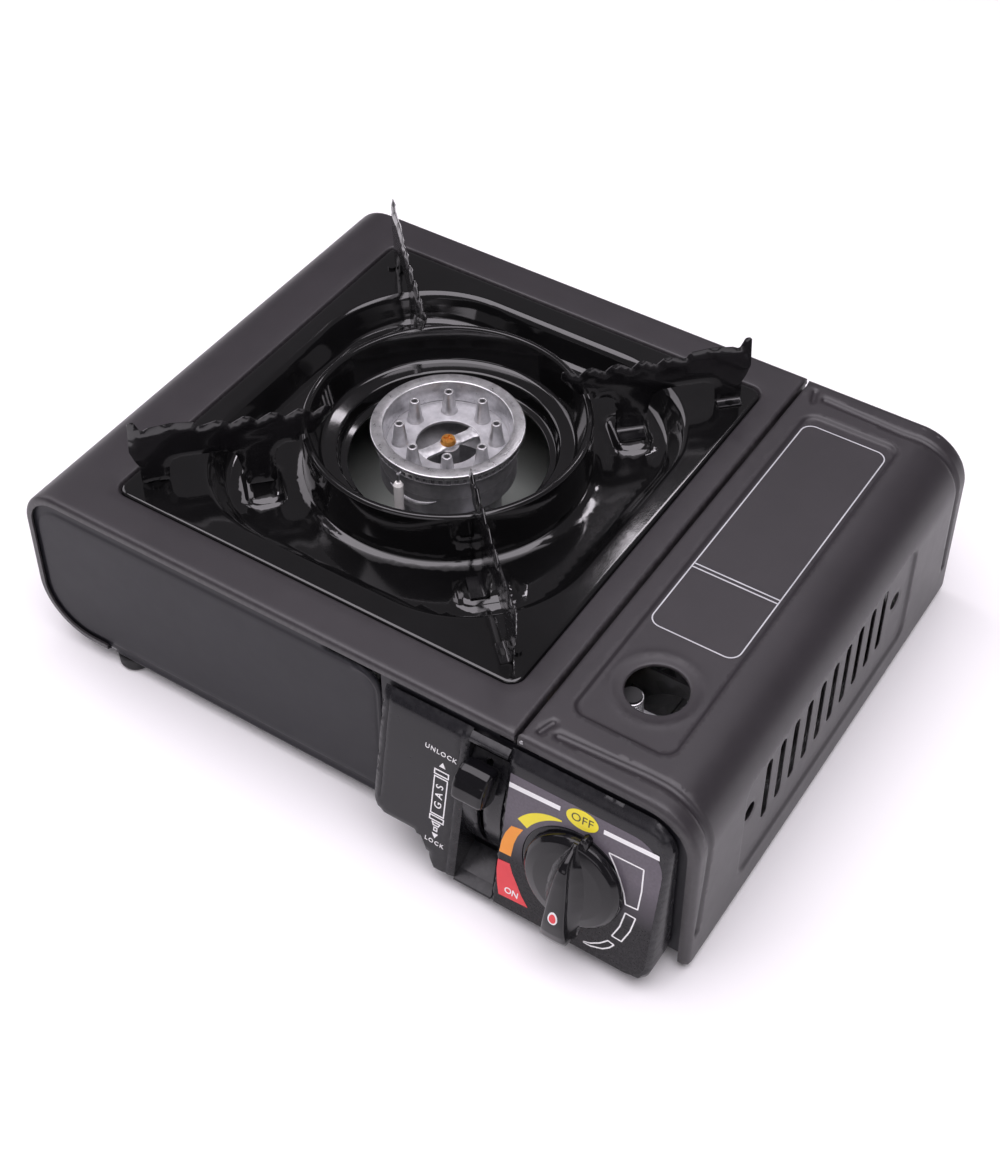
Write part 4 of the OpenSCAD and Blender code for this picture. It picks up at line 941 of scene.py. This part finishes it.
def fascia():
    left = [(27.0, 86.4), (27.0, 30.0)] + arc(35, 30, 8, 180, 270)[1:] + [(44, 22)] + arc(46, 14, 8, 90, 8)[0:] \
        + [(56.0, 14.0)] + arc(64, 14, 8, 184, 270)[1:] + [(69.0, 6.0), (69.0, 86.4)]
    inset = [(29.4, 84.0), (29.4, 30.5)] + arc(35, 30.4, 5.6, 180, 270)[1:] + [(44, 24.6), (50, 22.6)]
    def hl(x, z):
        # fine step line along the left edge and a shallow groove beside the channel
        d1 = sd_line(x, z, [(30.6, 82.5), (30.6, 31.0), (32.3, 26.6), (36.0, 24.8), (46, 24.8)])
        d2 = sd_line(x, z, [(65.4, 84.0), (65.4, 8.5)])
        return 0.35 * (1 - ss(0.15, 0.7, d1)) + 0.4 * (1 - ss(0.3, 0.9, d2))
    rl = [{"line": [(30.6 + o, 82.5 - i * 3.2) for i in range(17)]} for o in (-0.6, 0, 0.6)]
    rl += [{"line": [(65.4 + o, 84.0 - i * 3.0) for i in range(26)]} for o in (-0.8, 0, 0.8)]
    moulding("control_panel_left", left, M["mould"], rl, hl, 1.5, 2.2, "control_panel")
    right = [(87.0, 86.4), (87.0, 6.0), (153.0, 6.0)] + arc(153, 14, 8, 270, 360)[1:] + [(161, 72)] + arc(146, 72, 15, 0, 73.5)[1:]
    kc = (122.0, 6.0 + 38 * CL)

    def hr(x, z):
        s = (z - 6.0) / CL
        r = np.hypot(x - 122, s - 38)
        # raised ring round the knob
        return -0.45 * (1 - ss(22.2, 22.9, r))
    rr_ = [[(122 + r * math.cos(a), 6.0 + (38 + r * math.sin(a)) * CL) for a in np.linspace(0, 2 * math.pi, 73)[:-1]] for r in (22.2, 22.55, 22.9)]
    hole = [(123.5 + 6 * math.cos(a), 6.0 + (38 + 6 * math.sin(a)) * CL) for a in np.linspace(0, 2 * math.pi, 33)[:-1]]
    moulding("control_panel_right", right, M["mould"], rr_, hr, 2.2, 2.2, None, (hole,))
    # drum at the bottom of the lever's channel, with its slit
    def drum(x, a, d):
        x, a, d = np.broadcast_arrays(np.asarray(x, float), np.asarray(a, float), np.asarray(d, float))
        q = a / 48.0
        return np.stack([x, -88 - (48 + d) * np.cos(q), 46 + (48 + d) * np.sin(q)], -1)
    a0, a1 = -48 * math.radians(39.0), 48 * math.radians(37.5)
    outl = resample([(69.05, a0), (86.95, a0), (86.95, a1), (69.05, a1)], 2)
    slit = rr(77, 0.0, 2.8, 58, 1.3, 1.5)
    V, F = triangulate(outl, [slit], [rr(77, 0.0, 4.2, 59.4, 2.0, 1.5)], 2.4)
    dd = -sd_rr(V[:, 0], V[:, 1], 77, 0, 2.8, 58, 1.3)
    A, f = shell(V, F, drum, -roll(np.maximum(dd, 0), 0.7), 2.0)
    make("lever_drum", A, f, M["mould"], "casing", None, "black_moulding", angle=45)
    # sill under the channel and cap above it
    for nm, pr in (("channel_sill", [(-142.6, 6.2), (-143.9, 6.6), (-143.6, 7.5), (-138.4, 8.9), (-126.7, 15.2), (-126.7, 6.2)]),
                   ("channel_cap", [(-130.6, 82.0), (-130.2, 84.2), (-127.0, 86.3), (-126.7, 82.4)])):
        p = fillet(pr, 0.6, 3)
        k = len(p)
        v = [(x, y, z) for x in (69.02, 86.98) for y, z in p]
        f = [tuple(range(k)), tuple(range(2 * k - 1, k - 1, -1))] + [(i, (i + 1) % k, k + (i + 1) % k, k + i) for i in range(k)]
        make(nm, v, f, M["mould"], "casing", None, "black_moulding", angle=35)
    # printed plate
    plate = [(89.2, 2.2)] + arc(150.5, 10.5, 8.3, -90, 0) + [(158.8, 58)] + arc(144, 58, 14.8, 0, 90)[1:] + [(89.2, 72.8)]
    V, F = triangulate(resample(plate, 2), [circ(122, 38, 23.0, 72)], [], 3.5)
    sd = sd_poly(resample(plate, 2), V)
    A, f = shell(V, F, face, 0.32 - roll(np.maximum(sd, 0), 0.25), 0.6)
    make("control_plate_print", A, f, M["plate"], "casing", "control_plate", "printed_plate", angle=40)


def text(name, word, size, mat, centre, rot=0.0, up=0.38, squash=1.0, spacing=1.0, bold=0.0, low=0.20):
    """word on the control face, as a thin closed solid"""
    cu = bpy.data.curves.new(name, 'FONT')
    cu.body = word
    cu.size = size
    cu.align_x = 'CENTER'
    cu.align_y = 'CENTER'
    cu.space_character = spacing
    cu.offset = bold
    cu.extrude = (up - low) / 2
    cu.resolution_u = 4
    tmp = bpy.data.objects.new(name + "_src", cu)
    bpy.context.scene.collection.objects.link(tmp)
    dg = bpy.context.evaluated_depsgraph_get()
    me = bpy.data.meshes.new_from_object(tmp.evaluated_get(dg))
    v = np.array([x.co[:] for x in me.vertices])
    f = [tuple(p.vertices) for p in me.polygons]
    bpy.data.objects.remove(tmp)
    bpy.data.curves.remove(cu)
    bpy.data.meshes.remove(me)
    a = math.radians(rot)
    x = v[:, 0] * squash
    X = centre[0] + x * math.cos(a) - v[:, 1] * math.sin(a)
    S = centre[1] + x * math.sin(a) + v[:, 1] * math.cos(a)
    P = face(X, S, v[:, 2] + (up + low) / 2)
    return make(name, P, f, mat, "casing", None, "printed_plate", angle=30, merge=0.0005)


def prints():
    on = lambda nm, loops, mat, hi=0.40, lo=0.2: prism(nm, [resample(l, 1.5) for l in loops], face, lo, hi, mat, "casing", slot="printed_plate")
    def ell(cx, cy, a, b, n=48):
        return [(cx + a * math.cos(2 * math.pi * i / n), cy + b * math.sin(2 * math.pi * i / n)) for i in range(n)]
    on("print_off_field", [ell(122.6, 67.8, 7.2, 4.6)], M["yellow"])
    text("print_off", "OFF", 5.6, M["ink"], (122.6, 67.8), 0, 0.46, 1.0, 1.05, 0.0, 0.3)
    on("print_bar_left", [[(89.4, 66.1), (112.6, 67.0), (112.6, 69.2), (89.4, 68.4)]], M["white"])
    on("print_bar_right", [[(132.2, 66.6), (156.6, 67.4), (156.2, 69.5), (132.2, 68.8)]], M["white"])
    # heat scale, from yellow round to red
    def sweep(cx, cy, a0, a1, ri, ro, n=16):
        o = [(cx + ro(t) * math.cos(a0 + (a1 - a0) * t), cy + ro(t) * math.sin(a0 + (a1 - a0) * t)) for t in np.linspace(0, 1, n)]
        i = [(cx + ri(t) * math.cos(a0 + (a1 - a0) * t), cy + ri(t) * math.sin(a0 + (a1 - a0) * t)) for t in np.linspace(1, 0, n)]
        return o + i
    rd = math.radians
    on("print_yellow", [sweep(122, 38, rd(152), rd(108), lambda t: 25.2, lambda t: 30.4 - 4.6 * t ** 1.6)], M["yellow"])
    on("print_orange", [[(92.8, 46.9), (98.2, 47.9), (96.2, 43.2), (95.0, 38.4), (94.5, 31.1), (89.0, 30.8), (89.4, 37.0), (90.6, 42.0)]], M["orange"])
    on("print_red", [[(88.9, 26.3), (94.5, 27.0), (96.2, 22.6), (98.7, 18.5), (101.6, 13.4), (105.2, 8.9), (91.3, 8.1), (89.7, 15.0), (88.9, 21.0)]], M["red"])
    text("print_on", "ON", 4.4, M["white"], (97.0, 12.2), -3, 0.46, 0.95, 1.0, 0.06, 0.3)
    # outlined wedge on the other side
    def frame_of(nm, pts, w=0.62):
        o = resample(fillet(pts, 0.5, 3), 1.5)
        P = np.array(pts, float)
        i = inset_poly(pts, w)
        prism(nm, [o, resample(i, 1.5)], face, 0.2, 0.40, M["white"], "casing", slot="printed_plate")
    frame_of("print_wedge_1", [(135.2, 59.2), (151.4, 59.6), (152.2, 48.0), (152.0, 37.9), (146.1, 37.3), (144.6, 42.6), (142.1, 48.1), (139.0, 53.6)])
    frame_of("print_wedge_2", [(146.7, 33.6), (151.9, 33.4), (150.6, 25.2), (147.8, 17.5), (142.7, 17.8), (145.4, 25.0)])
    frame_of("print_wedge_3", [(129.1, 6.6), (134.6, 8.6), (138.6, 11.4), (141.8, 14.9), (145.3, 14.2), (143.2, 11.0), (140.3, 8.5), (135.0, 6.6)])
    # cartridge sign on the left panel
    text("print_unlock", "UNLOCK", 3.2, M["white"], (57.2, 64.6), -4, 0.16, 1.0, 1.25, 0.02, 0.0)
    text("print_lock", "LOCK", 3.0, M["white"], (58.6, 16.6), -4, 0.16, 1.0, 1.3, 0.02, 0.0)
    text("print_gas", "GAS", 4.9, M["white"], (58.6, 41.8), 90, 0.16, 1.0, 1.75, 0.03, 0.0)
    line = lambda nm, pts, w=0.5: prism(nm, [resample(thick_line(pts, w), 2)], face, 0.0, 0.16, M["white"], "casing", slot="printed_plate")
    def outline(nm, pts, w=0.55):
        prism(nm, [resample(pts, 1.5), resample(inset_poly(pts, w), 1.5)], face, 0.0, 0.16, M["white"], "casing", slot="printed_plate")
    outline("print_can_body", [(55.2, 31.6), (62.0, 31.6), (62.0, 52.2), (55.2, 52.2)])
    outline("print_can_base", [(55.0, 52.9), (62.2, 52.9), (62.2, 55.8), (55.0, 55.8)])
    outline("print_can_collar", [(55.0, 28.2), (62.2, 28.2), (62.2, 31.0), (55.0, 31.0)])
    outline("print_can_neck", [(56.4, 27.6), (57.2, 25.6), (60.0, 25.6), (60.8, 27.6)])
    outline("print_can_tip", [(57.6, 25.0), (57.6, 22.8), (59.6, 22.8), (59.6, 25.0)], 0.5)
    tri = lambda nm, c, s: prism(nm, [resample([(c[0] - 1.5, c[1] - s * 1.3), (c[0] + 1.5, c[1] - s * 1.3), (c[0], c[1] + s * 1.3)], 2)], face, 0.0, 0.16, M["white"], "casing", slot="printed_plate")
    tri("print_arrow_up", (58.6, 59.0), 1)
    tri("print_arrow_down", (58.6, 20.2), -1)


def thick_line(pts, w):
    out = []
    P = [np.array(p, float) for p in pts]
    L, R = [], []
    for i, p in enumerate(P):
        d = (P[min(i + 1, len(P) - 1)] - P[max(i - 1, 0)])
        d /= np.linalg.norm(d)
        n = np.array([-d[1], d[0]]) * w / 2
        L.append(tuple(p + n))
        R.append(tuple(p - n))
    return L + R[::-1]


def inset_poly(pts, w):
    P = [np.array(p, float) for p in pts]
    n = len(P)
    area = sum(P[i][0] * P[(i + 1) % n][1] - P[(i + 1) % n][0] * P[i][1] for i in range(n))
    s = 1 if area > 0 else -1
    out = []
    for i in range(n):
        a, b, c = P[i - 1], P[i], P[(i + 1) % n]
        u, v = (b - a) / np.linalg.norm(b - a), (c - b) / np.linalg.norm(c - b)
        n1, n2 = s * np.array([-u[1], u[0]]), s * np.array([-v[1], v[0]])
        m = n1 + n2
        m /= max(m @ m, 0.3) / 2
        out.append(tuple(b + m * w))
    return out


def burner():
    cx, cy = -29.0, 0.5
    # turned rim
    prof = fillet([(34.8, 100.6), (34.8, 102.8), (29.1, 102.8), (27.7, 93.0), (28.5, 92.7), (29.7, 100.4)], [0.35, 0.5, 0.6, 0.3, 0.2, 0.3], 4)
    A, f = revolve(prof, 144)
    make("burner_head_rim", A, f, M["head"], "casing", "burner_head", "machined_alloy", angle=50)
    # cast cup below it: recess floor, wall and the shoulder under the ports
    prof = fillet([(14.4, 90.5), (28.4, 90.5), (28.4, 86.1), (31.0, 86.1), (31.0, 95.2), (33.5, 96.9), (33.5, 97.25), (29.4, 97.25), (28.7, 92.6), (27.6, 92.1), (14.4, 92.1)],
                  [0.3, 0.2, 0.1, 0.1, 1.0, 0.3, 0.1, 0.1, 0.3, 0.6, 0.5], 4)
    A, f = revolve(prof, 120)
    make("burner_head_cup", A, f, M["cast"], "casing", None, "machined_alloy", angle=50)
    # comb of flame ports
    gear = []
    for i in range(60):
        for da, r in ((0.0, 33.4), (2.6, 33.4), (2.9, 33.1), (3.0, 30.9), (5.7, 30.9), (5.85, 33.1)):
            a = math.radians(i * 6 + da)
            gear.append((cx + r * math.cos(a), cy + r * math.sin(a)))
    flat_map = lambda x, y, z: np.stack(np.broadcast_arrays(np.asarray(x, float), np.asarray(y, float), np.asarray(z, float)), -1)
    prism("burner_head_ports", [gear, circ(cx, cy, 29.6, 90)], flat_map, 97.2, 100.65, M["comb"], "casing", slot="machined_alloy", angle=25)
    # bridge with its hub
    a = math.radians(66)
    L = 14.9
    br = []
    for s in (1, -1):
        br += [(s * (-L * 1.0), s * -4.0), (s * -11.5, s * -2.9), (s * 11.5, s * -2.9), (s * L, s * -4.0)]
    rot = lambda p: (cx + p[0] * math.cos(a) - p[1] * math.sin(a), cy + p[0] * math.sin(a) + p[1] * math.cos(a))
    V, F = triangulate(resample([rot(p) for p in fillet(br, 0.8, 3)], 1.2), [circ(cx, cy, 2.2, 24)], [circ(cx, cy, 5.6, 40), circ(cx, cy, 5.0, 40)], 1.6)
    rad = np.hypot(V[:, 0] - cx, V[:, 1] - cy)
    o = resample([rot(p) for p in fillet(br, 0.8, 3)], 1.2)
    h = 92.0 - roll(np.maximum(sd_poly(o, V), 0), 0.5) + 0.25 * (1 - ss(5.0, 5.6, rad))
    A, f = shell(V, F, flat_map, h, 1.4)
    make("burner_head_bridge", A, f, M["cast"], "casing", None, "machined_alloy", angle=45)
    # hollow nipples
    for i in range(8):
        q = math.radians(122.9 + 45 * i)
        prof = fillet([(1.25, 91.9), (4.2, 91.9), (3.5, 92.9), (3.1, 96.5), (2.35, 102.6), (2.2, 103.5), (1.35, 103.5), (1.25, 103.0)], [0.05, 0.3, 1.0, 1.5, 0.4, 0.25, 0.2, 0.2], 3)
        A, f = revolve(prof, 28, cx + 21.6 * math.cos(q), cy + 21.6 * math.sin(q))
        make("burner_head_nipple_%d" % (i + 1), A, f, M["nipple"], "casing", None, "machined_alloy", angle=45)
    # casting rib on the body
    rib = []
    K = 22
    sec = [(0.0, -1.2), (0.75, -0.7), (1.0, 0.0), (0.75, 0.7), (0.0, 1.2), (-0.6, 0.0)]
    for i in range(K + 1):
        t = i / K
        ang = math.radians(-112 + 46 * t)
        z = 84.0 - 4.5 * math.sin(t * math.pi * 0.8) + 3.0 * t
        w = 0.25 + 0.75 * math.sin(math.pi * min(1, max(0, t)))
        for (dr, dz) in sec:
            rib.append((cx + (31.0 + dr * w) * math.cos(ang), cy + (31.0 + dr * w) * math.sin(ang), z + dz * w))
    m = len(sec)
    f = [(i * m + j, i * m + (j + 1) % m, (i + 1) * m + (j + 1) % m, (i + 1) * m + j) for i in range(K) for j in range(m)]
    f += [tuple(range(m - 1, -1, -1)), tuple(K * m + j for j in range(m))]
    make("burner_body_rib", rib, f, M["cast"], "casing", None, "cast_alloy", angle=60)


# ----------------------------------------------------------- knob and lever
def knob():
    n = 96
    KX = 123.5
    prof = fillet([(3.1, 0.95), (21.6, 0.95), (22.0, 2.0), (21.6, 3.9), (19.8, 5.6), (15.5, 6.9), (9.0, 7.5), (3.1, 7.6)], [0.1, 0.4, 0.6, 1.6, 2.2, 4.0, 3.0, 0.1], 5)
    k = len(prof)
    v, f = [], []
    for i in range(n):
        a = 2 * math.pi * i / n
        for r, z in prof:
            v.append((r * math.cos(a), r * math.sin(a), z))
    for i in range(n):
        j = (i + 1) % n
        for q in range(k):
            w = (q + 1) % k
            f.append((i * k + q, j * k + q, j * k + w, i * k + w))
    v = np.array(v)
    P = face(KX + v[:, 0], 38 + v[:, 1], v[:, 2])
    make("control_knob_skirt", P, f, M["gloss"], "knob_body", "control_knob", "gloss_moulding", angle=50)
    # grip: rows of rounded sections, from the pointer end down to the hooked thumb end
    T = [21.6, 19.5, 16.5, 13.5, 8, 0, -8, -15, -20, -24, -27, -28.4]
    CR = [0.6, 0.9, 1.3, 2.0, 2.9, 3.7, 4.3, 4.8, 5.3, 5.6, 5.2, 3.6]
    RT = [1.2, 2.8, 4.7, 6.6, 9.4, 11.2, 10.8, 9.0, 7.6, 6.9, 6.2, 4.4]
    HI = [5.4, 7.6, 11.6, 14.0, 14.9, 15.1, 15.1, 15.0, 14.4, 13.2, 11.4, 8.6]
    LO = [4.4, 4.8, 5.2, 5.4, 5.6, 5.6, 5.6, 5.2, 4.0, 3.6, 3.7, 4.4]
    up = T[::-1]
    at = lambda y, arr: np.interp(y, up, arr[::-1])
    N, K = 56, 30
    ys = np.concatenate([np.linspace(21.6, 12.5, 14), np.linspace(12.5, -19, 22)[1:], np.linspace(-19, -28.4, 22)[1:]])
    N = len(ys) - 1
    v, f = [], []
    for y in ys:
        c, r, h, lo = at(y, CR), at(y, RT), at(y, HI), at(y, LO)
        top = min(0.9, (h - lo) * 0.3)
        for j in range(K):
            q = j / (K - 1)
            s = 1 if q < 0.5 else -1
            w = abs(q - 0.5) * 2
            if w > 0.30:
                g = (w - 0.30) / 0.70
                x = s * (c + (r - c) * g ** 1.9)
                z = h - top - (h - top - lo) * g
            else:
                g = w / 0.30
                x = s * c * math.sin(g * math.pi / 2) ** 0.8
                z = h - top * (1 - math.cos(g * math.pi / 2))
            v.append((x, y, z))
    for i in range(N):
        for j in range(K - 1):
            f.append((i * K + j, (i + 1) * K + j, (i + 1) * K + j + 1, i * K + j + 1))
        f.append((i * K + K - 1, (i + 1) * K + K - 1, (i + 1) * K, i * K))
    f.append(tuple(range(K)))
    f.append(tuple(N * K + j for j in range(K - 1, -1, -1)))
    v = np.array(v)
    P = face(KX + v[:, 0], 38 + v[:, 1], v[:, 2])
    make("control_knob_grip", P, f, M["gloss"], "knob_body", None, "gloss_moulding", angle=60)
    # pointer nose at the rim
    nose = resample(fillet([(0.6, 19.0), (5.4, 19.0), (4.7, 23.9), (3.0, 25.2), (1.3, 23.9)], 0.6, 3), 0.8)
    V, F = triangulate(nose, [], [], 0.8)
    sd = sd_poly(nose, V)
    A, ff = shell(V, F, lambda x, s, d: face(KX + x, 38 + s, d), 4.9 - roll(np.maximum(sd, 0), 0.9), 3.6)
    make("control_knob_nose", A, ff, M["gloss"], "knob_body", None, "gloss_moulding", angle=45)
    # drop mark with a white outline, on the thumb end
    drop = lambda s: [(s * 2.1 * math.sin(a), -11.2 + s * (-2.6 * math.cos(a) * (1.45 if math.cos(a) < 0 else 1.0))) for a in np.linspace(0, 2 * math.pi, 33)[:-1]]
    fm = lambda x, s, d: face(KX + np.asarray(x), 38 + np.asarray(s), d)
    prism("knob_mark_ring", [drop(1.0), drop(0.74)], fm, 14.6, 15.32, M["white"], "knob_body", node="knob_mark", slot="red_mark")
    prism("knob_mark_drop", [drop(0.74)], fm, 14.6, 15.30, M["red"], "knob_body", slot="red_mark")


def lever():
    """thumb block of the lever: rounded block with a hollowed face"""
    a = math.radians(25)
    ca, sa = math.cos(a), math.sin(a)
    prof = fillet([(48.9, -6.9), (52, -8.3), (58.6, -8.3), (61.4, -7.0), (62.6, -1.5), (62.2, 2.5), (60.4, 6.4), (58.0, 8.2), (52, 8.4), (48.9, 6.9)],
                  [0.5, 1.5, 2.4, 2.4, 2, 2, 2.4, 2.0, 1.5, 0.5], 5)
    prof = resample(prof, 1.0)
    X = [-7.15, -6.9, -6.2, -5.0, -2.5, 0, 2.5, 5.0, 6.2, 6.9, 7.15]
    S = [0.80, 0.90, 0.965, 0.99, 1.0, 1.0, 1.0, 0.99, 0.965, 0.90, 0.80]
    c = np.array([55.5, 0.0])
    v, f = [], []
    k = len(prof)
    for x, s in zip(X, S):
        for r, t in prof:
            q = c + (np.array([r, t]) - c) * s
            r2 = max(q[0], 48.9)
            if r2 > 59:
                r2 -= 0.5 * (1 - (x / 7.2) ** 2)
            v.append((77 + x, -88 - (r2 * ca - q[1] * sa), 46 + r2 * sa + q[1] * ca))
    for i in range(len(X) - 1):
        for j in range(k):
            w = (j + 1) % k
            f.append((i * k + j, i * k + w, (i + 1) * k + w, (i + 1) * k + j))
    f.append(tuple(range(k)))
    f.append(tuple((len(X) - 1) * k + j for j in range(k - 1, -1, -1)))
    make("lock_lever_block", v, f, M["gloss"], "lever_body", "lock_lever", "gloss_moulding", angle=55)


# ---------------------------------------------------------------- finish
def front_panel():
    out = [(-150, 92.8)] + arc(-150, 74, 18.8, 90, 180)[1:] + [(-168.8, 36)] + arc(-142, 36, 26.8, 180, 270)[1:] + [(-130, 9.2), (-130, 7.6), (22.5, 7.6), (22.5, 73.8)] \
        + arc(10.4, 73.8, 12.0, 0, 88)[1:] + [(-5, 85.8), (-5, 92.8)]
    o = resample(out, 3)

    def field(w):
        return [(-150, 84.2 - w)] + arc(-150, 70, 14.2 - w, 90, 180)[1:] + [(-164.2 + w, 36)] + arc(-142, 36, 22.2 - w, 180, 270)[1:] \
            + [(19.6 - w, 13.8 + w), (19.6 - w, 72)] + arc(9.6, 74.2, 10.0 - w, 0, 90)[1:]
    rings = [resample(field(w), 3) for w in (-1.0, -0.3, 0.4, 1.1)]
    for w in (0.5, 1.0, 1.6, 2.2, 3.0):
        rings.append({"line": [(-127 + 3.0 * i, 7.6 + w) for i in range(50)]})
        rings.append({"line": [(22.5 - w, 7.6 + w + 2.6 * i) for i in range(26)] + arc(10.4, 73.8, 12.1 - w, 2, 86)})
    V, F = triangulate(o, [], rings, 3.2, keep=0.4)
    x, z = V[:, 0], V[:, 1]
    sd = sd_poly(resample(field(0), 3), V)
    so = sd_poly(o, V)
    h = 0.5 * ss(-1.0, 1.1, sd)
    rim = (so < 6) * (z < 88) * ((z < 16) | (x > 8)) * (x > -131)
    h = h + 0.45 * np.exp(-((so - 1.6) / 0.75) ** 2) * rim
    h = h - roll(np.maximum(so, 0), 0.6) * (so < 0.6)
    h = h + 0.10 * np.sin(x / 47.0) * np.sin(z / 23.0) * ss(4, 16, sd)
    fm = lambda x, z, d: np.stack([x, -124.75 - d, z], -1)
    A, f = shell(V, F, fm, h, 0.8)
    make("front_panel_sheet", A, f, M["panel"], "casing", "front_panel", "satin_panel", angle=45)


main_cover()
gas_cover()
front_panel()
drip_tray()
burner()
pan_supports()
fascia()
prints()
knob()
lever()

CAD_LOOK = {
    "base_pan": "galvanised", "rear_panel": "panel_plain", "partition_wall": "galvanised", "valve_mount_plate": "panel_plain",
    "reflector_plate": "reflector", "burner_bracket": "galvanised", "bracket_screws": "steel", "burner_body": "cast_plain",
    "burner_screw": "copper", "mixing_tube": "cast_plain", "gas_injector": "brass",
    "regulator_body": "cast_plain", "regulator_diaphragm": "rubber", "regulator_cap": "steel", "cap_screws": "steel",
    # the dark rubber finish on safety_plunger is painted shade: it keeps the plunger dark down the sight hole
    "regulator_bracket": "galvanised", "safety_spring": "steel", "safety_plunger": "rubber", "valve_body": "brass",
    "cartridge_socket": "brass", "nozzle_seal": "rubber", "cartridge_guide": "galvanised", "slide_guides": "galvanised",
    "piezo_igniter": "mould_plain", "ignition_lead": "lead", "electrode_ceramic": "ceramic", "electrode_tip": "steel",
    "electrode_clip": "galvanised", "lever_bracket": "galvanised", "lever_pin": "steel", "hinge_pins": "steel",
    "foot_screws": "steel", "rear_screws": "steel", "support_rivets": "enamel", "valve_stem": "brass",
    "lever_arm": "galvanised", "cartridge_slide": "galvanised", "slide_link": "galvanised",
}
for node, key in CAD_LOOK.items():
    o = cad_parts[node]
    o = o if hasattr(o, "data") else bpy.data.objects[node]
    for s in o.material_slots:
        s.material = M[key]
    if not o.material_slots:
        o.data.materials.append(M[key])


refine("feet", M["rubber"], "casing", 0.5, 3)


# ------------------------------------------------------------ floor, light
def studio():
    me = bpy.data.meshes.new("floor")
    n = 24
    vs = [((i / n - 0.5) * 9, (j / n - 0.5) * 9, -0.0002) for j in range(n + 1) for i in range(n + 1)]
    fs = [(j * (n + 1) + i, j * (n + 1) + i + 1, (j + 1) * (n + 1) + i + 1, (j + 1) * (n + 1) + i) for j in range(n) for i in range(n)]
    me.from_pydata(vs, [], fs)
    g = Nodes("floor_paper")
    g.link(g.mix(g.noise(6, 3), (0.96, 0.96, 0.96), (0.975, 0.975, 0.975)), g.b.inputs["Base Color"])
    g.b.inputs["Roughness"].default_value = 0.9
    g.b.inputs["Specular IOR Level"].default_value = 0.1
    me.materials.append(g.m)
    ob = bpy.data.objects.new("floor", me)
    bpy.context.scene.collection.objects.link(ob)
    w = bpy.data.worlds.new("studio")
    bpy.context.scene.world = w
    w.use_nodes = True
    w.node_tree.nodes["Background"].inputs[0].default_value = (0.985, 0.93, 1, 1)
    w.node_tree.nodes["Background"].inputs[1].default_value = 0.16

    def area(nm, at, to, sx, sy, power):
        li = bpy.data.lights.new(nm, 'AREA')
        li.shape = 'RECTANGLE'
        li.size, li.size_y = sx, sy
        li.energy = power
        li.color = (0.985, 0.930, 1.0)
        ob = bpy.data.objects.new(nm, li)
        d = Vector(to) - Vector(at)
        ob.rotation_euler = d.to_track_quat('-Z', 'Y').to_euler()
        ob.location = at
        bpy.context.scene.collection.objects.link(ob)
    def panel(nm, at, to, sx, sy, radiance):
        area(nm, at, to, sx, sy, radiance * math.pi * sx * sy)
    panel("overhead", (0.05, -0.20, 1.9), (0, 0, 0), 2.7, 2.0, 3.2)
    panel("left_box", (-2.0, 0.2, 1.2), (0, 0, 0.05), 1.2, 1.4, 1.7)
    panel("right_box", (2.0, -0.9, 1.0), (0, 0, 0.05), 1.2, 1.2, 0.7)
    panel("front_fill", (0.3, -2.3, 1.1), (0, 0, 0.05), 1.8, 1.0, 1.2)
    panel("spark", (-0.35, 1.5, 1.75), (0, 0, 0.05), 0.7, 0.10, 9.0)
    bpy.context.scene.view_settings.view_transform = 'Standard'


studio()
